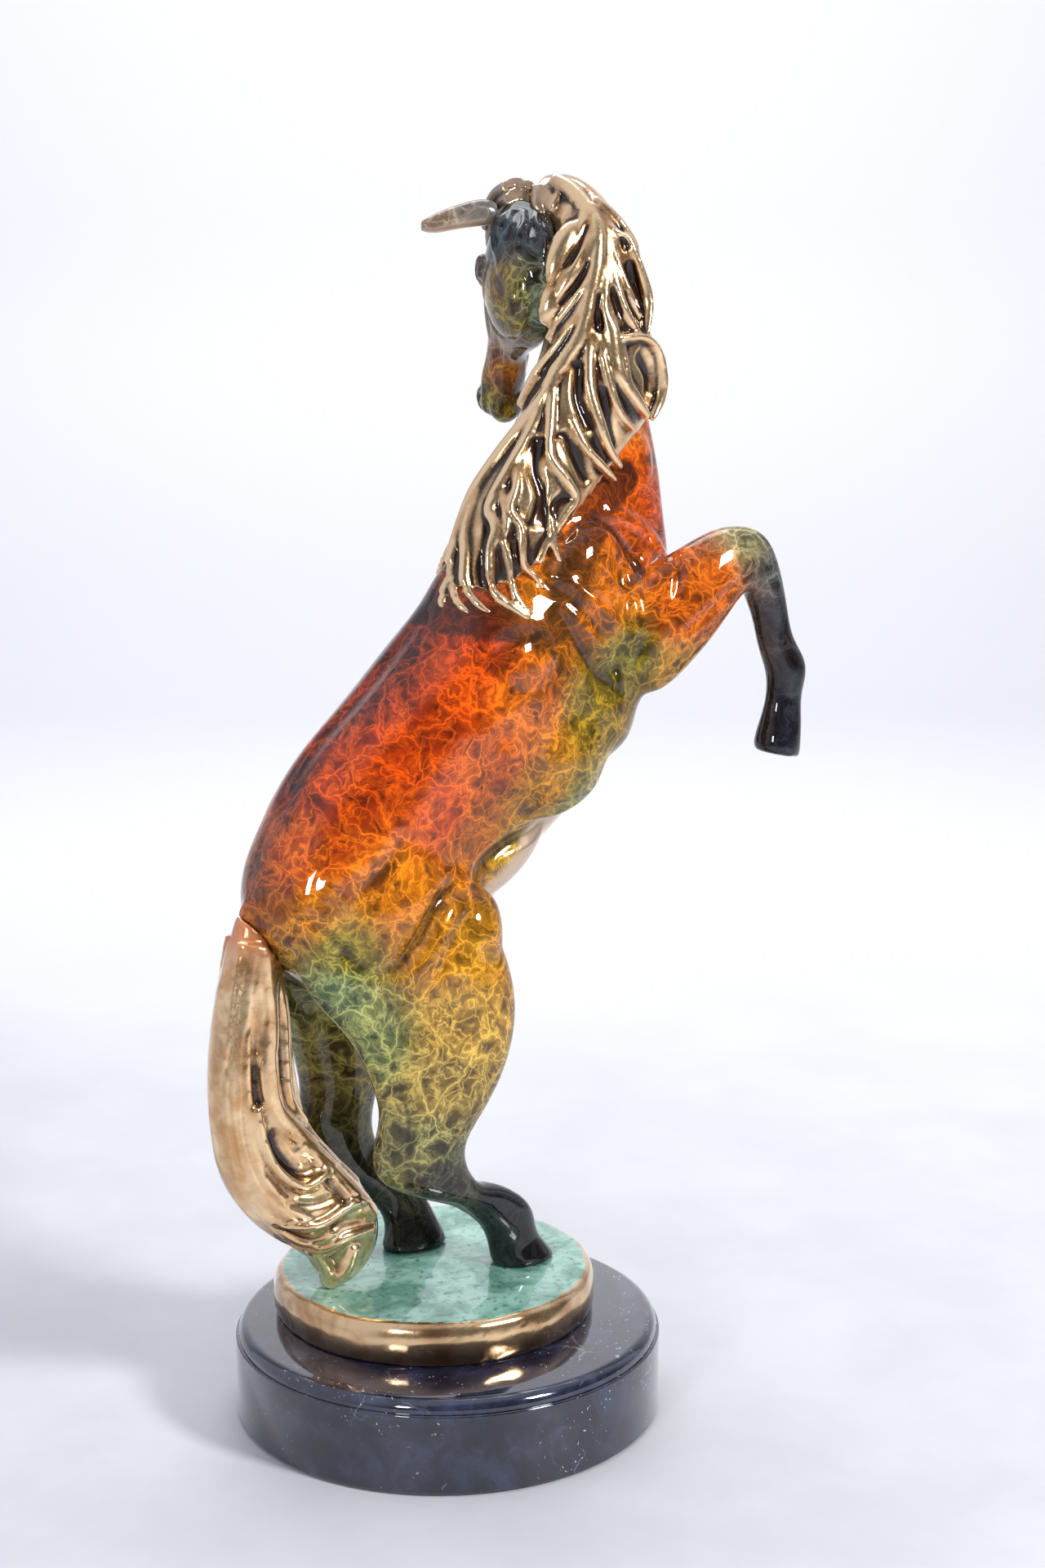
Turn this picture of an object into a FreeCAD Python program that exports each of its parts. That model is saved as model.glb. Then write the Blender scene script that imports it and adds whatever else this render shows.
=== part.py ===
import FreeCAD, Part

"""Rearing horse in patinated bronze on a round black marble base.

The horse is a set of bronze castings that are welded edge to edge: a hollow trunk, a hollow neck, the head,
two ears, the mane, the forelock, the tail and four legs. It stands on a bronze ground plate, and two studs with
washers and nuts hold that plate to the marble, whose underside is covered by a felt disc.

Millimetres, +Z up. The origin is on the axis of the marble base, in the plane that the felt stands on.
The horse faces +X and +Y is its left side.
"""

import math
import os
from typing import NamedTuple

from FreeCAD import Rotation, Vector

OUT_FOLDER = "parts"

# Felt disc and marble base
FELT_R = 86.0
FELT_T = 1.2
BASE_R = 90.0
BASE_TOP = 40.0
BASE_CHAMFER = 0.8
BASE_STEP_Z = 34.4
BASE_STEP_IN = 1.3
BASE_STEP_H = 0.7
BASE_NOSE_IN = 4.6

# Bronze ground plate, set a little to the horse's left of the marble's axis
GROUND_R = 67.5
GROUND_TOP = 58.0
GROUND_Y = 12.0
GROUND_BULGE = 1.0
GROUND_EDGE = 3.0
GROUND_WALL = 5.0
GROUND_SKIN = 4.5
BOSS_R = 7.0

# Studs, washers and nuts that hold the plate to the marble
STUD_X = 32.0
STUD_R = 3.0
STUD_HOLE_R = 3.5
STUD_LOW = 4.2
STUD_IN_BOSS = 9.0
RECESS_R = 12.0
RECESS_TOP = 14.0
WASHER_R = 9.0
WASHER_HOLE_R = 3.2
WASHER_T = 1.6
NUT_ACROSS_FLATS = 10.0
NUT_H = 5.0

# Horse
HORSE_Y = 14.0
WALL = 4.5
TENON_R = 3.2
TENON_H = 4.0
TENON_CLEARANCE = 0.1
RING_POINTS = 14
RING_SWELL = 3.0 / (2.0 + math.cos(2.0 * math.pi / RING_POINTS))
NECK_JOINT_SLICE = 10
FORELEG_JOINT_SLICE = 2
HIND_LEG_JOINT_SLICE = 3
TAIL_JOINT_SLICE = 1
BODY_BLOCK = 500.0
FORELEG_BLOCK = 86.0
HIND_LEG_BLOCK = 130.0
TAIL_BLOCK = 60.0
STANDING_LEGS = ("right_hind_leg", "left_hind_leg")
HEAD_YAW = 74.0
HEAD_PITCH = 52.0
HEAD_ROLL = -6.0
POLL = (56.0, 22.0, 502.0)
LEFT_FORELEG_YAW = 32.0
LEFT_FORELEG_PIVOT = (88.0, 27.0, 325.0)


class Slice(NamedTuple):
    """One cross-section of a casting, between two opposite points of its outline.

    The outline reaches ``half`` to each side of the line from ``near`` to ``far``, squarely across the
    casting's run. ``lean`` moves the widest place towards ``near`` if positive and towards ``far`` if negative.
    """

    near: tuple
    far: tuple
    half: float
    lean: float = 0.0


def place(point):
    """Turns a point of the horse's own frame, whose y is measured from its middle plane, into the part's frame."""
    return Vector(point[0], point[1] + HORSE_Y, point[2])


def ring(cut, along, turn):
    """Returns the control points of one slice's outline, with ``along`` as the run's direction at that slice."""
    near = turn(cut.near)
    far = turn(cut.far)
    middle = (near + far) * 0.5
    depth = (near - far) * (0.5 * RING_SWELL)
    side = along.cross(depth)
    side.normalize()
    side *= cut.half * RING_SWELL
    points = []
    for step in range(RING_POINTS):
        angle = 2.0 * math.pi * step / RING_POINTS
        points.append(middle + depth * math.cos(angle) + side * math.sin(angle + cut.lean * math.sin(angle)))
    return points


def loft(slices, turn=place):
    """Returns the smooth solid whose skin runs through the slices, closed by a flat face at each end."""
    middles = [(turn(cut.near) + turn(cut.far)) * 0.5 for cut in slices]
    last = len(slices) - 1
    run = [0.0]
    for here, there in zip(middles, middles[1:]):
        run.append(run[-1] + here.distanceToPoint(there))
    rings = []
    for index, cut in enumerate(slices):
        along = middles[min(index + 1, last)] - middles[max(index - 1, 0)]
        rings.append(ring(cut, along, turn))
    columns = []
    for column in zip(*rings):
        curve = Part.BSplineCurve()
        curve.interpolate(Points=list(column), Parameters=run)
        columns.append(curve)
    poles = [list(row) for row in zip(*(curve.getPoles() for curve in columns))]
    around = [float(k) for k in range(RING_POINTS + 1)]
    skin = Part.BSplineSurface()
    skin.buildFromPolesMultsKnots(poles, columns[0].getMultiplicities(), [1] * len(around),
                                  columns[0].getKnots(), around, False, True, 3, 3)
    side = skin.toShape()
    caps = [Part.Face(Part.Wire([edge])) for edge in side.Edges if edge.isClosed()]
    shell = Part.makeShell([side, *caps])
    shell.sewShape()
    solid = Part.makeSolid(shell)
    if solid.Volume < 0:
        solid.reverse()
    return solid


def inset(slices, wall):
    """Returns the slices of the hollow inside a casting whose wall is ``wall`` thick."""
    inner = []
    for cut in slices:
        near = Vector(*cut.near)
        far = Vector(*cut.far)
        step = far - near
        step.normalize()
        step *= wall
        inner.append(Slice(tuple(near + step), tuple(far - step), cut.half - wall, cut.lean))
    return inner


def revolve(profile):
    """Returns the solid of revolution about Z of a closed profile of (radius, height) points."""
    points = [Vector(radius, 0, height) for radius, height in profile]
    face = Part.Face(Part.makePolygon(points + points[:1]))
    return face.revolve(Vector(0, 0, 0), Vector(0, 0, 1), 360)


def rod(radius, low, high, x, y):
    """Returns an upright cylinder from height ``low`` to ``high``."""
    return Part.makeCylinder(radius, high - low, Vector(x, y, low))


def stud_places():
    """Returns the plan positions of the two studs."""
    return [(-STUD_X, GROUND_Y), (STUD_X, GROUND_Y)]


def felt_pad():
    """The felt disc glued under the marble."""
    return Part.makeCylinder(FELT_R, FELT_T)


def marble_base():
    """The turned marble disc, with a step and a rounded nose at its top edge and a recess for each nut."""
    nose = BASE_R - BASE_STEP_IN
    nose_low = BASE_STEP_Z + BASE_STEP_H
    inner = nose - BASE_NOSE_IN
    corner = math.radians(45.0)
    arc_mid = Vector(inner + BASE_NOSE_IN * math.cos(corner), 0,
                     nose_low + (BASE_TOP - nose_low) * math.sin(corner))
    corners = [(0, FELT_T), (BASE_R - BASE_CHAMFER, FELT_T), (BASE_R, FELT_T + BASE_CHAMFER),
               (BASE_R, BASE_STEP_Z - BASE_CHAMFER), (BASE_R - BASE_CHAMFER, BASE_STEP_Z), (nose, BASE_STEP_Z),
               (nose, nose_low)]
    points = [Vector(radius, 0, height) for radius, height in corners]
    top_edge = Vector(inner, 0, BASE_TOP)
    edges = [Part.makeLine(a, b) for a, b in zip(points, points[1:])]
    edges.append(Part.Arc(points[-1], arc_mid, top_edge).toShape())
    edges.append(Part.makeLine(top_edge, Vector(0, 0, BASE_TOP)))
    edges.append(Part.makeLine(Vector(0, 0, BASE_TOP), points[0]))
    solid = Part.Face(Part.Wire(edges)).revolve(Vector(0, 0, 0), Vector(0, 0, 1), 360)
    for x, y in stud_places():
        solid = solid.cut(rod(RECESS_R, FELT_T, RECESS_TOP, x, y))
        solid = solid.cut(rod(STUD_HOLE_R, RECESS_TOP, BASE_TOP, x, y))
    return solid


def ground_plate(tenon_places):
    """The cast ground: a skin with a rim, hollow below, with a boss for each stud and a hole for each tenon."""
    rim_mid = (BASE_TOP + GROUND_TOP) * 0.5
    edge = GROUND_EDGE * 0.3
    outer = revolve([(0, BASE_TOP), (GROUND_R, BASE_TOP), (GROUND_R + GROUND_BULGE, rim_mid - 2.0),
                     (GROUND_R + GROUND_BULGE, rim_mid + 2.0), (GROUND_R, GROUND_TOP - GROUND_EDGE),
                     (GROUND_R - edge, GROUND_TOP - edge), (GROUND_R - GROUND_EDGE, GROUND_TOP), (0, GROUND_TOP)])
    hollow_r = GROUND_R - GROUND_WALL
    hollow = Part.makeCylinder(hollow_r, GROUND_TOP - GROUND_SKIN - BASE_TOP, Vector(0, 0, BASE_TOP))
    plate = outer.cut(hollow)
    plate.translate(Vector(0, GROUND_Y, 0))
    for x, y in stud_places():
        plate = plate.fuse(rod(BOSS_R, BASE_TOP, GROUND_TOP - GROUND_SKIN, x, y))
    for x, y in stud_places():
        plate = plate.cut(rod(STUD_R, BASE_TOP, BASE_TOP + STUD_IN_BOSS, x, y))
    for x, y in tenon_places:
        plate = plate.cut(rod(TENON_R + TENON_CLEARANCE, GROUND_TOP - GROUND_SKIN, GROUND_TOP, x, y))
    return plate.removeSplitter()


def studs():
    """The two threaded studs screwed into the bosses, with their threads left plain."""
    return Part.makeCompound([rod(STUD_R, STUD_LOW, BASE_TOP + STUD_IN_BOSS, x, y) for x, y in stud_places()])


def washers():
    """The two washers at the top of the recesses."""
    rings = []
    for x, y in stud_places():
        disc = rod(WASHER_R, RECESS_TOP - WASHER_T, RECESS_TOP, x, y)
        rings.append(disc.cut(rod(WASHER_HOLE_R, RECESS_TOP - WASHER_T, RECESS_TOP, x, y)))
    return Part.makeCompound(rings)


def nuts():
    """The two hexagon nuts under the washers."""
    corner_r = NUT_ACROSS_FLATS / math.sqrt(3.0)
    high = RECESS_TOP - WASHER_T
    solids = []
    for x, y in stud_places():
        corners = [Vector(x + corner_r * math.cos(math.radians(60 * k)), y + corner_r * math.sin(math.radians(60 * k)),
                          high - NUT_H) for k in range(7)]
        hexagon = Part.Face(Part.makePolygon(corners)).extrude(Vector(0, 0, NUT_H))
        solids.append(hexagon.cut(rod(STUD_R, high - NUT_H, high, x, y)))
    return Part.makeCompound(solids)


# Trunk slices run from the buttocks to the base of the neck, each from the back line to the belly line.
TRUNK = [
    Slice((-82, 0, 221), (-72, 0, 203), 11),
    Slice((-80, 0, 236), (-56, 0, 187), 26),
    Slice((-72, 0, 255), (-36, 0, 184), 33, 0.1),
    Slice((-61, 0, 274), (-8, 0, 192), 35, 0.2),
    Slice((-48, 0, 290), (20, 0, 207), 34, 0.3),
    Slice((-33, 0, 304), (41, 0, 228), 35, 0.35),
    Slice((-19, 0, 318), (61, 0, 246), 37, 0.35),
    Slice((-8, 0, 330), (80, 0, 266), 36, 0.3),
    Slice((1, 0, 341), (96, 0, 288), 33, 0.2),
    Slice((7, 0, 351), (110, 0, 318), 30, 0.1),
    Slice((14, 0, 361), (115, 0, 349), 25),
]

# Neck slices go on from the trunk's last one, each from the crest to the throat.
NECK = [
    Slice((25, 0, 379), (113, 0, 372), 20.5),
    Slice((37, 0, 396), (111, 1, 391), 17.5),
    Slice((50, 1, 412), (108, 3, 409), 15.5),
    Slice((62, 2, 430), (105, 6, 427), 14),
    Slice((72, 3, 448), (102, 11, 442), 13),
    Slice((77, 4, 468), (96, 17, 454), 12.5),
    Slice((76, 6, 487), (86, 24, 462), 12),
    Slice((70, 12, 500), (76, 29, 468), 11.5),
    Slice((64, 21, 505), (68, 34, 474), 10.5),
]

# Head slices in the head's own frame: x down the face from the poll, z out of the forehead.
HEAD = [
    Slice((-3, 0, -4), (-2, 0, -28), 7),
    Slice((1, 0, -1), (4, 0, -38), 11.5, 0.1),
    Slice((9, 0, 1.5), (13, 0, -45), 13.5, 0.2),
    Slice((20, 0, 2), (25, 0, -48), 14.5, 0.25),
    Slice((31, 0, 0.5), (38, 0, -46), 14, 0.2),
    Slice((43, 0, -2.5), (48, 0, -39), 11, 0.1),
    Slice((55, 0, -5.5), (58, 0, -32), 9),
    Slice((67, 0, -8.5), (69, 0, -29), 8.5),
    Slice((79, 0, -11), (80, 0, -29.5), 9.5),
    Slice((89, 0, -14), (89, 0, -30), 9),
    Slice((95, 0, -17.5), (94, 0, -28.5), 6.5),
    Slice((97, 0, -20.5), (96.5, 0, -26), 3),
]

# An ear in the head's frame, for the left side; the right one is its mirror image.
EAR = [
    Slice((1.5, 8, 1), (8.5, 10, -5), 3.4),
    Slice((0, 14, 2), (9, 15, -4), 4.2),
    Slice((1, 21, 2), (10.5, 21, -2.5), 4.4),
    Slice((3, 28, 1.5), (12, 28, -1.5), 4.0),
    Slice((5.5, 34.5, 1), (13, 34.5, -1), 3.2),
    Slice((8, 39.5, 0.5), (12, 39.5, -0.5), 1.9),
]

# Legs run down to the sole, each slice from the front outline to the back one.
RIGHT_HIND_LEG = [
    Slice((-6, -20, 252), (-70, -18, 205), 10),
    Slice((6, -23, 236), (-64, -21, 190), 14.5),
    Slice((16, -26, 212), (-54, -24, 177), 16),
    Slice((24, -29, 182), (-46, -26, 164), 14.5),
    Slice((20, -30, 154), (-40, -27, 149), 12),
    Slice((9, -29, 133), (-38, -27, 134), 10.5),
    Slice((1, -28, 117), (-41, -27, 121), 9),
    Slice((7, -27, 102), (-36, -26, 108), 8.5),
    Slice((19, -25, 96), (-12, -24, 96), 7.5),
    Slice((31, -22, 89), (4, -22, 86), 7.2),
    Slice((38, -20, 80), (13, -20, 77), 8),
    Slice((41, -19, 70), (17, -19, 69), 8.2),
    Slice((46, -18.5, 63), (19, -18.5, 62), 10.5),
    Slice((49, -18.5, 58), (20, -18.5, 58), 11.5),
]
LEFT_HIND_LEG = [
    Slice((-8, 20, 252), (-70, 18, 205), 10),
    Slice((2, 23, 234), (-66, 21, 188), 14.5),
    Slice((6, 26, 208), (-60, 24, 174), 16),
    Slice((5, 29, 176), (-53, 27, 160), 14.5),
    Slice((-4, 30, 148), (-48, 29, 143), 12),
    Slice((-11, 30, 127), (-47, 30, 126), 10.5),
    Slice((-13, 29, 110), (-52, 29, 110), 9),
    Slice((-5, 28, 95), (-43, 28, 95), 8.5),
    Slice((3, 25, 86), (-24, 25, 84), 7.5),
    Slice((9, 22, 77), (-14, 22, 76), 7.2),
    Slice((12, 20, 70), (-12, 20, 69), 8),
    Slice((15, 19, 63), (-13, 19, 62), 10),
    Slice((17, 19, 58), (-14, 19, 58), 11),
]
RIGHT_FORELEG = [
    Slice((84, -22, 350), (76, -24, 306), 9),
    Slice((100, -25, 357), (92, -26, 300), 12),
    Slice((118, -28, 366), (110, -28, 312), 12.5),
    Slice((134, -30, 368.5), (124, -30, 328), 10.5),
    Slice((146, -31, 363), (134, -30.5, 340), 9),
    Slice((153, -31.5, 347), (138, -31, 336), 8.5),
    Slice((157, -31.5, 332), (141, -31, 328), 7),
    Slice((161, -31.5, 319), (144.5, -31, 315), 6.8),
    Slice((167, -31.5, 307), (149, -31, 302), 7.8),
    Slice((165.5, -31.2, 295), (148, -31, 290), 7),
    Slice((165, -31, 284), (145, -30.8, 279), 9),
    Slice((164, -31, 267), (144.5, -30.6, 271), 10),
]
LEFT_FORELEG = [
    Slice((84, 22, 350), (76, 24, 306), 9),
    Slice((100, 25, 355), (92, 26, 302), 12),
    Slice((118, 28, 362), (108, 28, 314), 12),
    Slice((134, 30, 364), (124, 30, 328), 10.5),
    Slice((146, 31, 356), (134, 31, 333), 9),
    Slice((149, 31, 339), (131, 31, 328), 8.5),
    Slice((143, 31, 321), (127, 31, 320), 7),
    Slice((137, 31, 306), (120, 31, 310), 6.8),
    Slice((132, 31, 292), (114, 31, 299), 7.8),
    Slice((125, 31, 282), (109, 31, 292), 7),
    Slice((119, 31, 270), (99, 31, 288), 9),
    Slice((104, 31, 262), (93, 31, 282), 10),
]

# Tail slices run from the dock to the tip on the ground, each from the outer outline to the inner one.
TAIL = [
    Slice((-76, 0, 236), (-66, 0, 219), 6),
    Slice((-86, 0, 222), (-69, 0, 206), 8),
    Slice((-92, 0, 200), (-68, 0, 188), 9.5),
    Slice((-97, 0, 172), (-65, 0, 165), 11.5),
    Slice((-99, -1, 145), (-64, -1, 146), 12.5),
    Slice((-97, -2, 120), (-59, -2, 130), 13),
    Slice((-87, -3, 97), (-50, -3, 117), 13.5),
    Slice((-72, -3, 82), (-41, -3, 107), 13),
    Slice((-57, -3, 72), (-31, -3, 94), 11.5),
    Slice((-53, -3, 64), (-28, -3, 78), 9),
    Slice((-52, -3, 58), (-38, -3, 62), 5.5),
]

# Mane slices run from the withers up the crest to the poll, each from outside the crest down onto the neck.
MANE = [
    Slice((6, 0, 345), (36, -4, 330), 15, 0.2),
    Slice((11, -1, 358), (50, -5, 342), 19, 0.2),
    Slice((20, -2, 379), (66, -5, 360), 20, 0.2),
    Slice((33, -2, 398), (78, -6, 380), 19.5, 0.2),
    Slice((43, -2, 413), (90, -7, 399), 19, 0.2),
    Slice((51, -2, 431), (102, -8, 417), 18, 0.2),
    Slice((59, -2, 453), (106, -6, 437), 18, 0.2),
    Slice((64, -2, 477), (99, -2, 459), 17, 0.2),
    Slice((67, 0, 498), (92, 6, 477), 15, 0.2),
    Slice((70, 7, 509), (80, 16, 488), 12, 0.2),
    Slice((65, 17, 511), (72, 24, 492), 10, 0.2),
]

# The forelock in the head's frame lies over the poll and down the forehead.
FORELOCK = [
    Slice((-5, 0, 4), (0, 0, -6), 6),
    Slice((2, 0, 7), (5, 0, -2), 8),
    Slice((11, 0, 7.5), (12, 0, 0), 8),
    Slice((21, 0, 6.5), (21, 0, 0.5), 6.5),
    Slice((30, 0, 4), (30, 0, -0.5), 4),
    Slice((36, 0, 1.5), (36, 0, -1.5), 1.5),
]


def head_turn(point):
    """Carries a point from the head's own frame into the part's frame."""
    pitch = Rotation(Vector(0, 1, 0), HEAD_PITCH)
    roll = Rotation(Vector(1, 0, 0), HEAD_ROLL)
    yaw = Rotation(Vector(0, 0, 1), HEAD_YAW)
    turned = yaw.multVec(pitch.multVec(roll.multVec(Vector(*point))))
    return place(POLL) + turned


def left_foreleg_turn(point):
    """Swings a point of the left foreleg outwards about an upright axis through the shoulder."""
    pivot = Vector(*LEFT_FORELEG_PIVOT)
    yaw = Rotation(Vector(0, 0, 1), LEFT_FORELEG_YAW)
    turned = pivot + yaw.multVec(Vector(*point) - pivot)
    return place(tuple(turned))


def mirrored(slices):
    """Returns the slices reflected in the head's middle plane."""
    return [Slice((s.near[0], -s.near[1], s.near[2]), (s.far[0], -s.far[1], s.far[2]), s.half, s.lean)
            for s in slices]


def parting_block(slices, index, size, turn=place):
    """Returns a cube that rests on the plane of one slice and fills the side of the slices before it."""
    cut = slices[index]
    near = turn(cut.near)
    far = turn(cut.far)
    middle = (near + far) * 0.5
    before = slices[index - 1]
    back = (turn(before.near) + turn(before.far)) * 0.5 - middle
    across = near - far
    across.normalize()
    normal = back - across * back.dot(across)
    cube = Part.makeBox(size, size, size, Vector(-size / 2, -size / 2, 0))
    cube.Placement = FreeCAD.Placement(middle, Rotation(across, Vector(), normal, "ZXY"))
    return cube


def with_tenon(leg, slices):
    """Adds a tenon under the sole of a standing leg and returns the leg with the tenon's plan position."""
    sole = slices[-1]
    middle = (place(sole.near) + place(sole.far)) * 0.5
    tenon = rod(TENON_R, GROUND_TOP - TENON_H, GROUND_TOP, middle.x, middle.y)
    return leg.fuse(tenon).removeSplitter(), (middle.x, middle.y)


def export(name, shape):
    """Writes one node's STEP file and prints what it holds."""
    solids = shape.Solids
    Part.makeCompound(solids).exportStep(os.path.join(OUT_FOLDER, name + ".step"))
    box = shape.BoundBox
    print(f"{name}: {len(solids)} solids, valid {shape.isValid()}, {shape.Volume / 1000:.1f} cm3, "
          f"x {box.XMin:.1f}..{box.XMax:.1f} y {box.YMin:.1f}..{box.YMax:.1f} z {box.ZMin:.1f}..{box.ZMax:.1f}")


def horse():
    """Returns the horse's castings by name, and the plan positions of its two tenons."""
    body_slices = TRUNK + NECK
    body = loft(body_slices)
    hollow = loft(inset(body_slices[1:-1], WALL))
    below_neck = parting_block(body_slices, NECK_JOINT_SLICE, BODY_BLOCK)
    trunk = body.common(below_neck)
    castings = {"neck": body.cut(below_neck).cut(hollow)}
    tenon_places = []
    limbs = {
        "right_foreleg": (RIGHT_FORELEG, place, FORELEG_JOINT_SLICE, FORELEG_BLOCK),
        "left_foreleg": (LEFT_FORELEG, left_foreleg_turn, FORELEG_JOINT_SLICE, FORELEG_BLOCK),
        "right_hind_leg": (RIGHT_HIND_LEG, place, HIND_LEG_JOINT_SLICE, HIND_LEG_BLOCK),
        "left_hind_leg": (LEFT_HIND_LEG, place, HIND_LEG_JOINT_SLICE, HIND_LEG_BLOCK),
        "tail": (TAIL, place, TAIL_JOINT_SLICE, TAIL_BLOCK),
    }
    for name, (slices, turn, joint_slice, block_size) in limbs.items():
        limb = loft(slices, turn)
        block = parting_block(slices, joint_slice, block_size, turn)
        trunk = trunk.fuse(limb.common(block))
        casting = limb.cut(block).cut(body)
        if name in STANDING_LEGS:
            casting, tenon_place = with_tenon(casting, slices)
            tenon_places.append(tenon_place)
        castings[name] = casting
    castings["trunk"] = trunk.cut(hollow).cut(castings["neck"])
    head = loft(HEAD, head_turn).cut(body)
    forelock = loft(FORELOCK, head_turn).cut(head).cut(body)
    castings["head"] = head
    castings["forelock"] = forelock
    castings["mane"] = loft(MANE).cut(body).cut(castings["trunk"]).cut(head).cut(forelock)
    castings["left_ear"] = loft(EAR, head_turn).cut(head).cut(forelock).cut(castings["mane"])
    castings["right_ear"] = loft(mirrored(EAR), head_turn).cut(head).cut(forelock).cut(castings["mane"])
    return castings, tenon_places


def main():
    """Builds every node and writes its STEP file."""
    os.makedirs(OUT_FOLDER, exist_ok=True)
    castings, tenon_places = horse()
    nodes = {
        "felt_pad": felt_pad(),
        "marble_base": marble_base(),
        "ground_plate": ground_plate(tenon_places),
        "fixing_studs": studs(),
        "fixing_washers": washers(),
        "fixing_nuts": nuts(),
        **castings,
    }
    for name, shape in nodes.items():
        export(name, shape)


main()
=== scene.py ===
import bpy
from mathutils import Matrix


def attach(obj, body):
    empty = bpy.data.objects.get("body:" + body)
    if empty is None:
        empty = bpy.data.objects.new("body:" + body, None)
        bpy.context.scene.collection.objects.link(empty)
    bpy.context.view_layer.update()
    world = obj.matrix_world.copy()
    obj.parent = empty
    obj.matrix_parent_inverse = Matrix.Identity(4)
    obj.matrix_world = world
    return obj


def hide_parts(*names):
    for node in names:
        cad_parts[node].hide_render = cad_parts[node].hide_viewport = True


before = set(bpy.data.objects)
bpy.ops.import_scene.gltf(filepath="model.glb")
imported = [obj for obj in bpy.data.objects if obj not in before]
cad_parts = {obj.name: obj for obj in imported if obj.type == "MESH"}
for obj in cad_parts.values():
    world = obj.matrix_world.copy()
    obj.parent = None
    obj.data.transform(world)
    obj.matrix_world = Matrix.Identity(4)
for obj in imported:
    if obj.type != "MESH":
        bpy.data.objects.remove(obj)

"""Rearing horse in hot-patinated bronze on a round black marble base.

Lengths are millimetres in the fields of the castings and metres in every mesh and in the studio. The horse
faces +X, +Y is its left side and +Z is up. The castings start as wax taken from the fixed frame; strokes
model the wax as a sculptor's tools do.
"""

import logging
import math
from dataclasses import dataclass, field
from enum import Enum
from typing import NamedTuple, Optional, Sequence

import bmesh
import bpy
import numpy as np
from mathutils import Euler, Matrix, Vector, noise
from mathutils.bvhtree import BVHTree

log = logging.getLogger("horse")

MM = 0.001
HORSE_Y = 14.0
CAP_AGREEMENT = 0.55
LEAST_TURN = 0.05
LEFT_SHOULDER = Vector((88.0, 27.0, 325.0))
LEFT_SWING = 32.0
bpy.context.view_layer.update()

Point = tuple[float, float, float]


def swung(point: Point) -> Vector:
    """Swings a point of the left foreleg outwards about the upright axis through its shoulder."""
    swing = Matrix.Rotation(math.radians(LEFT_SWING), 3, "Z")
    return swing @ (Vector(point) - LEFT_SHOULDER) + LEFT_SHOULDER + Vector((0, HORSE_Y, 0))


LEFT_KNEE_JOINT = tuple(swung((113.0, 28.0, 338.0)))
LEFT_KNEE_AXIS = tuple(swung((113.979, 28.0, 337.796)) - swung((113.0, 28.0, 338.0)))
HEAD_TURN = (
    Matrix.Translation((56.0, 22.0 + HORSE_Y, 502.0)) @ Matrix.Rotation(math.radians(74.0), 4, "Z")
    @ Matrix.Rotation(math.radians(52.0), 4, "Y") @ Matrix.Rotation(math.radians(-6.0), 4, "X"))


class Side(Enum):
    """A side of the horse, valued as the sign of y on it."""

    RIGHT = -1
    LEFT = 1


class Slot(Enum):
    """The record's material slots."""

    FELT = "felt"
    MARBLE = "marble"
    GROUND = "ground_bronze"
    STEEL = "steel"
    PATINA = "patina_bronze"
    POLISHED = "polished_bronze"


def linear(red: float, green: float, blue: float) -> tuple[float, float, float, float]:
    """Turns a display colour into a scene colour.

    Args:
        red: red, 0 to 255.
        green: green, 0 to 255.
        blue: blue, 0 to 255.

    Returns:
        The linear colour with an alpha of 1.
    """
    channels = []
    for value in (red / 255.0, green / 255.0, blue / 255.0):
        channels.append(value / 12.92 if value <= 0.04045 else ((value + 0.055) / 1.055) ** 2.4)
    return (channels[0], channels[1], channels[2], 1.0)


# ---------------------------------------------------------------- wax and strokes


class Stroke(NamedTuple):
    """One pass of a modelling tool: a ridge along a path, or a groove where its height is negative."""

    path: tuple[Point, ...]
    radius: float
    height: float
    sharp: float = 1.0


class Softening(NamedTuple):
    """A place where the wax is rubbed smooth: a path, how far from it, and how many rubs."""

    path: tuple[Point, ...]
    radius: float
    repeat: int


class Mass(NamedTuple):
    """A lump of wax: an ellipsoid's middle, half sizes and turn in degrees."""

    centre: Point
    radii: Point
    turn: Point = (0.0, 0.0, 0.0)


def smooth_path(points: Sequence[Point], step: float) -> np.ndarray:
    """Runs a Catmull-Rom curve through points.

    Args:
        points: the points, in millimetres.
        step: the spacing of the samples, in millimetres.

    Returns:
        The samples as rows.
    """
    knots = np.array(points, float)
    if len(knots) == 1:
        return knots
    ends = np.vstack([2 * knots[0] - knots[1], knots, 2 * knots[-1] - knots[-2]])
    samples = []
    for index in range(1, len(ends) - 2):
        before, here, there, after = ends[index - 1:index + 3]
        count = max(2, int(np.linalg.norm(there - here) / step) + 1)
        t = np.linspace(0.0, 1.0, count, endpoint=False)[:, None]
        bend = 2 * before - 5 * here + 4 * there - after
        twist = 3 * here - before - 3 * there + after
        samples.append(0.5 * (2 * here + (there - before) * t + bend * t ** 2 + twist * t ** 3))
    samples.append(knots[-1:])
    return np.vstack(samples)


def object_from(mesh: bpy.types.Mesh, name: str) -> bpy.types.Object:
    """Links a new object that holds a mesh."""
    thing = bpy.data.objects.new(name, mesh)
    bpy.context.scene.collection.objects.link(thing)
    return thing


def object_from_bmesh(bm: bmesh.types.BMesh, name: str) -> bpy.types.Object:
    """Links a new object made from a bmesh, and frees the bmesh."""
    mesh = bpy.data.meshes.new(name)
    bmesh.ops.recalc_face_normals(bm, faces=bm.faces)
    bm.to_mesh(mesh)
    bm.free()
    return object_from(mesh, name)


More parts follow.
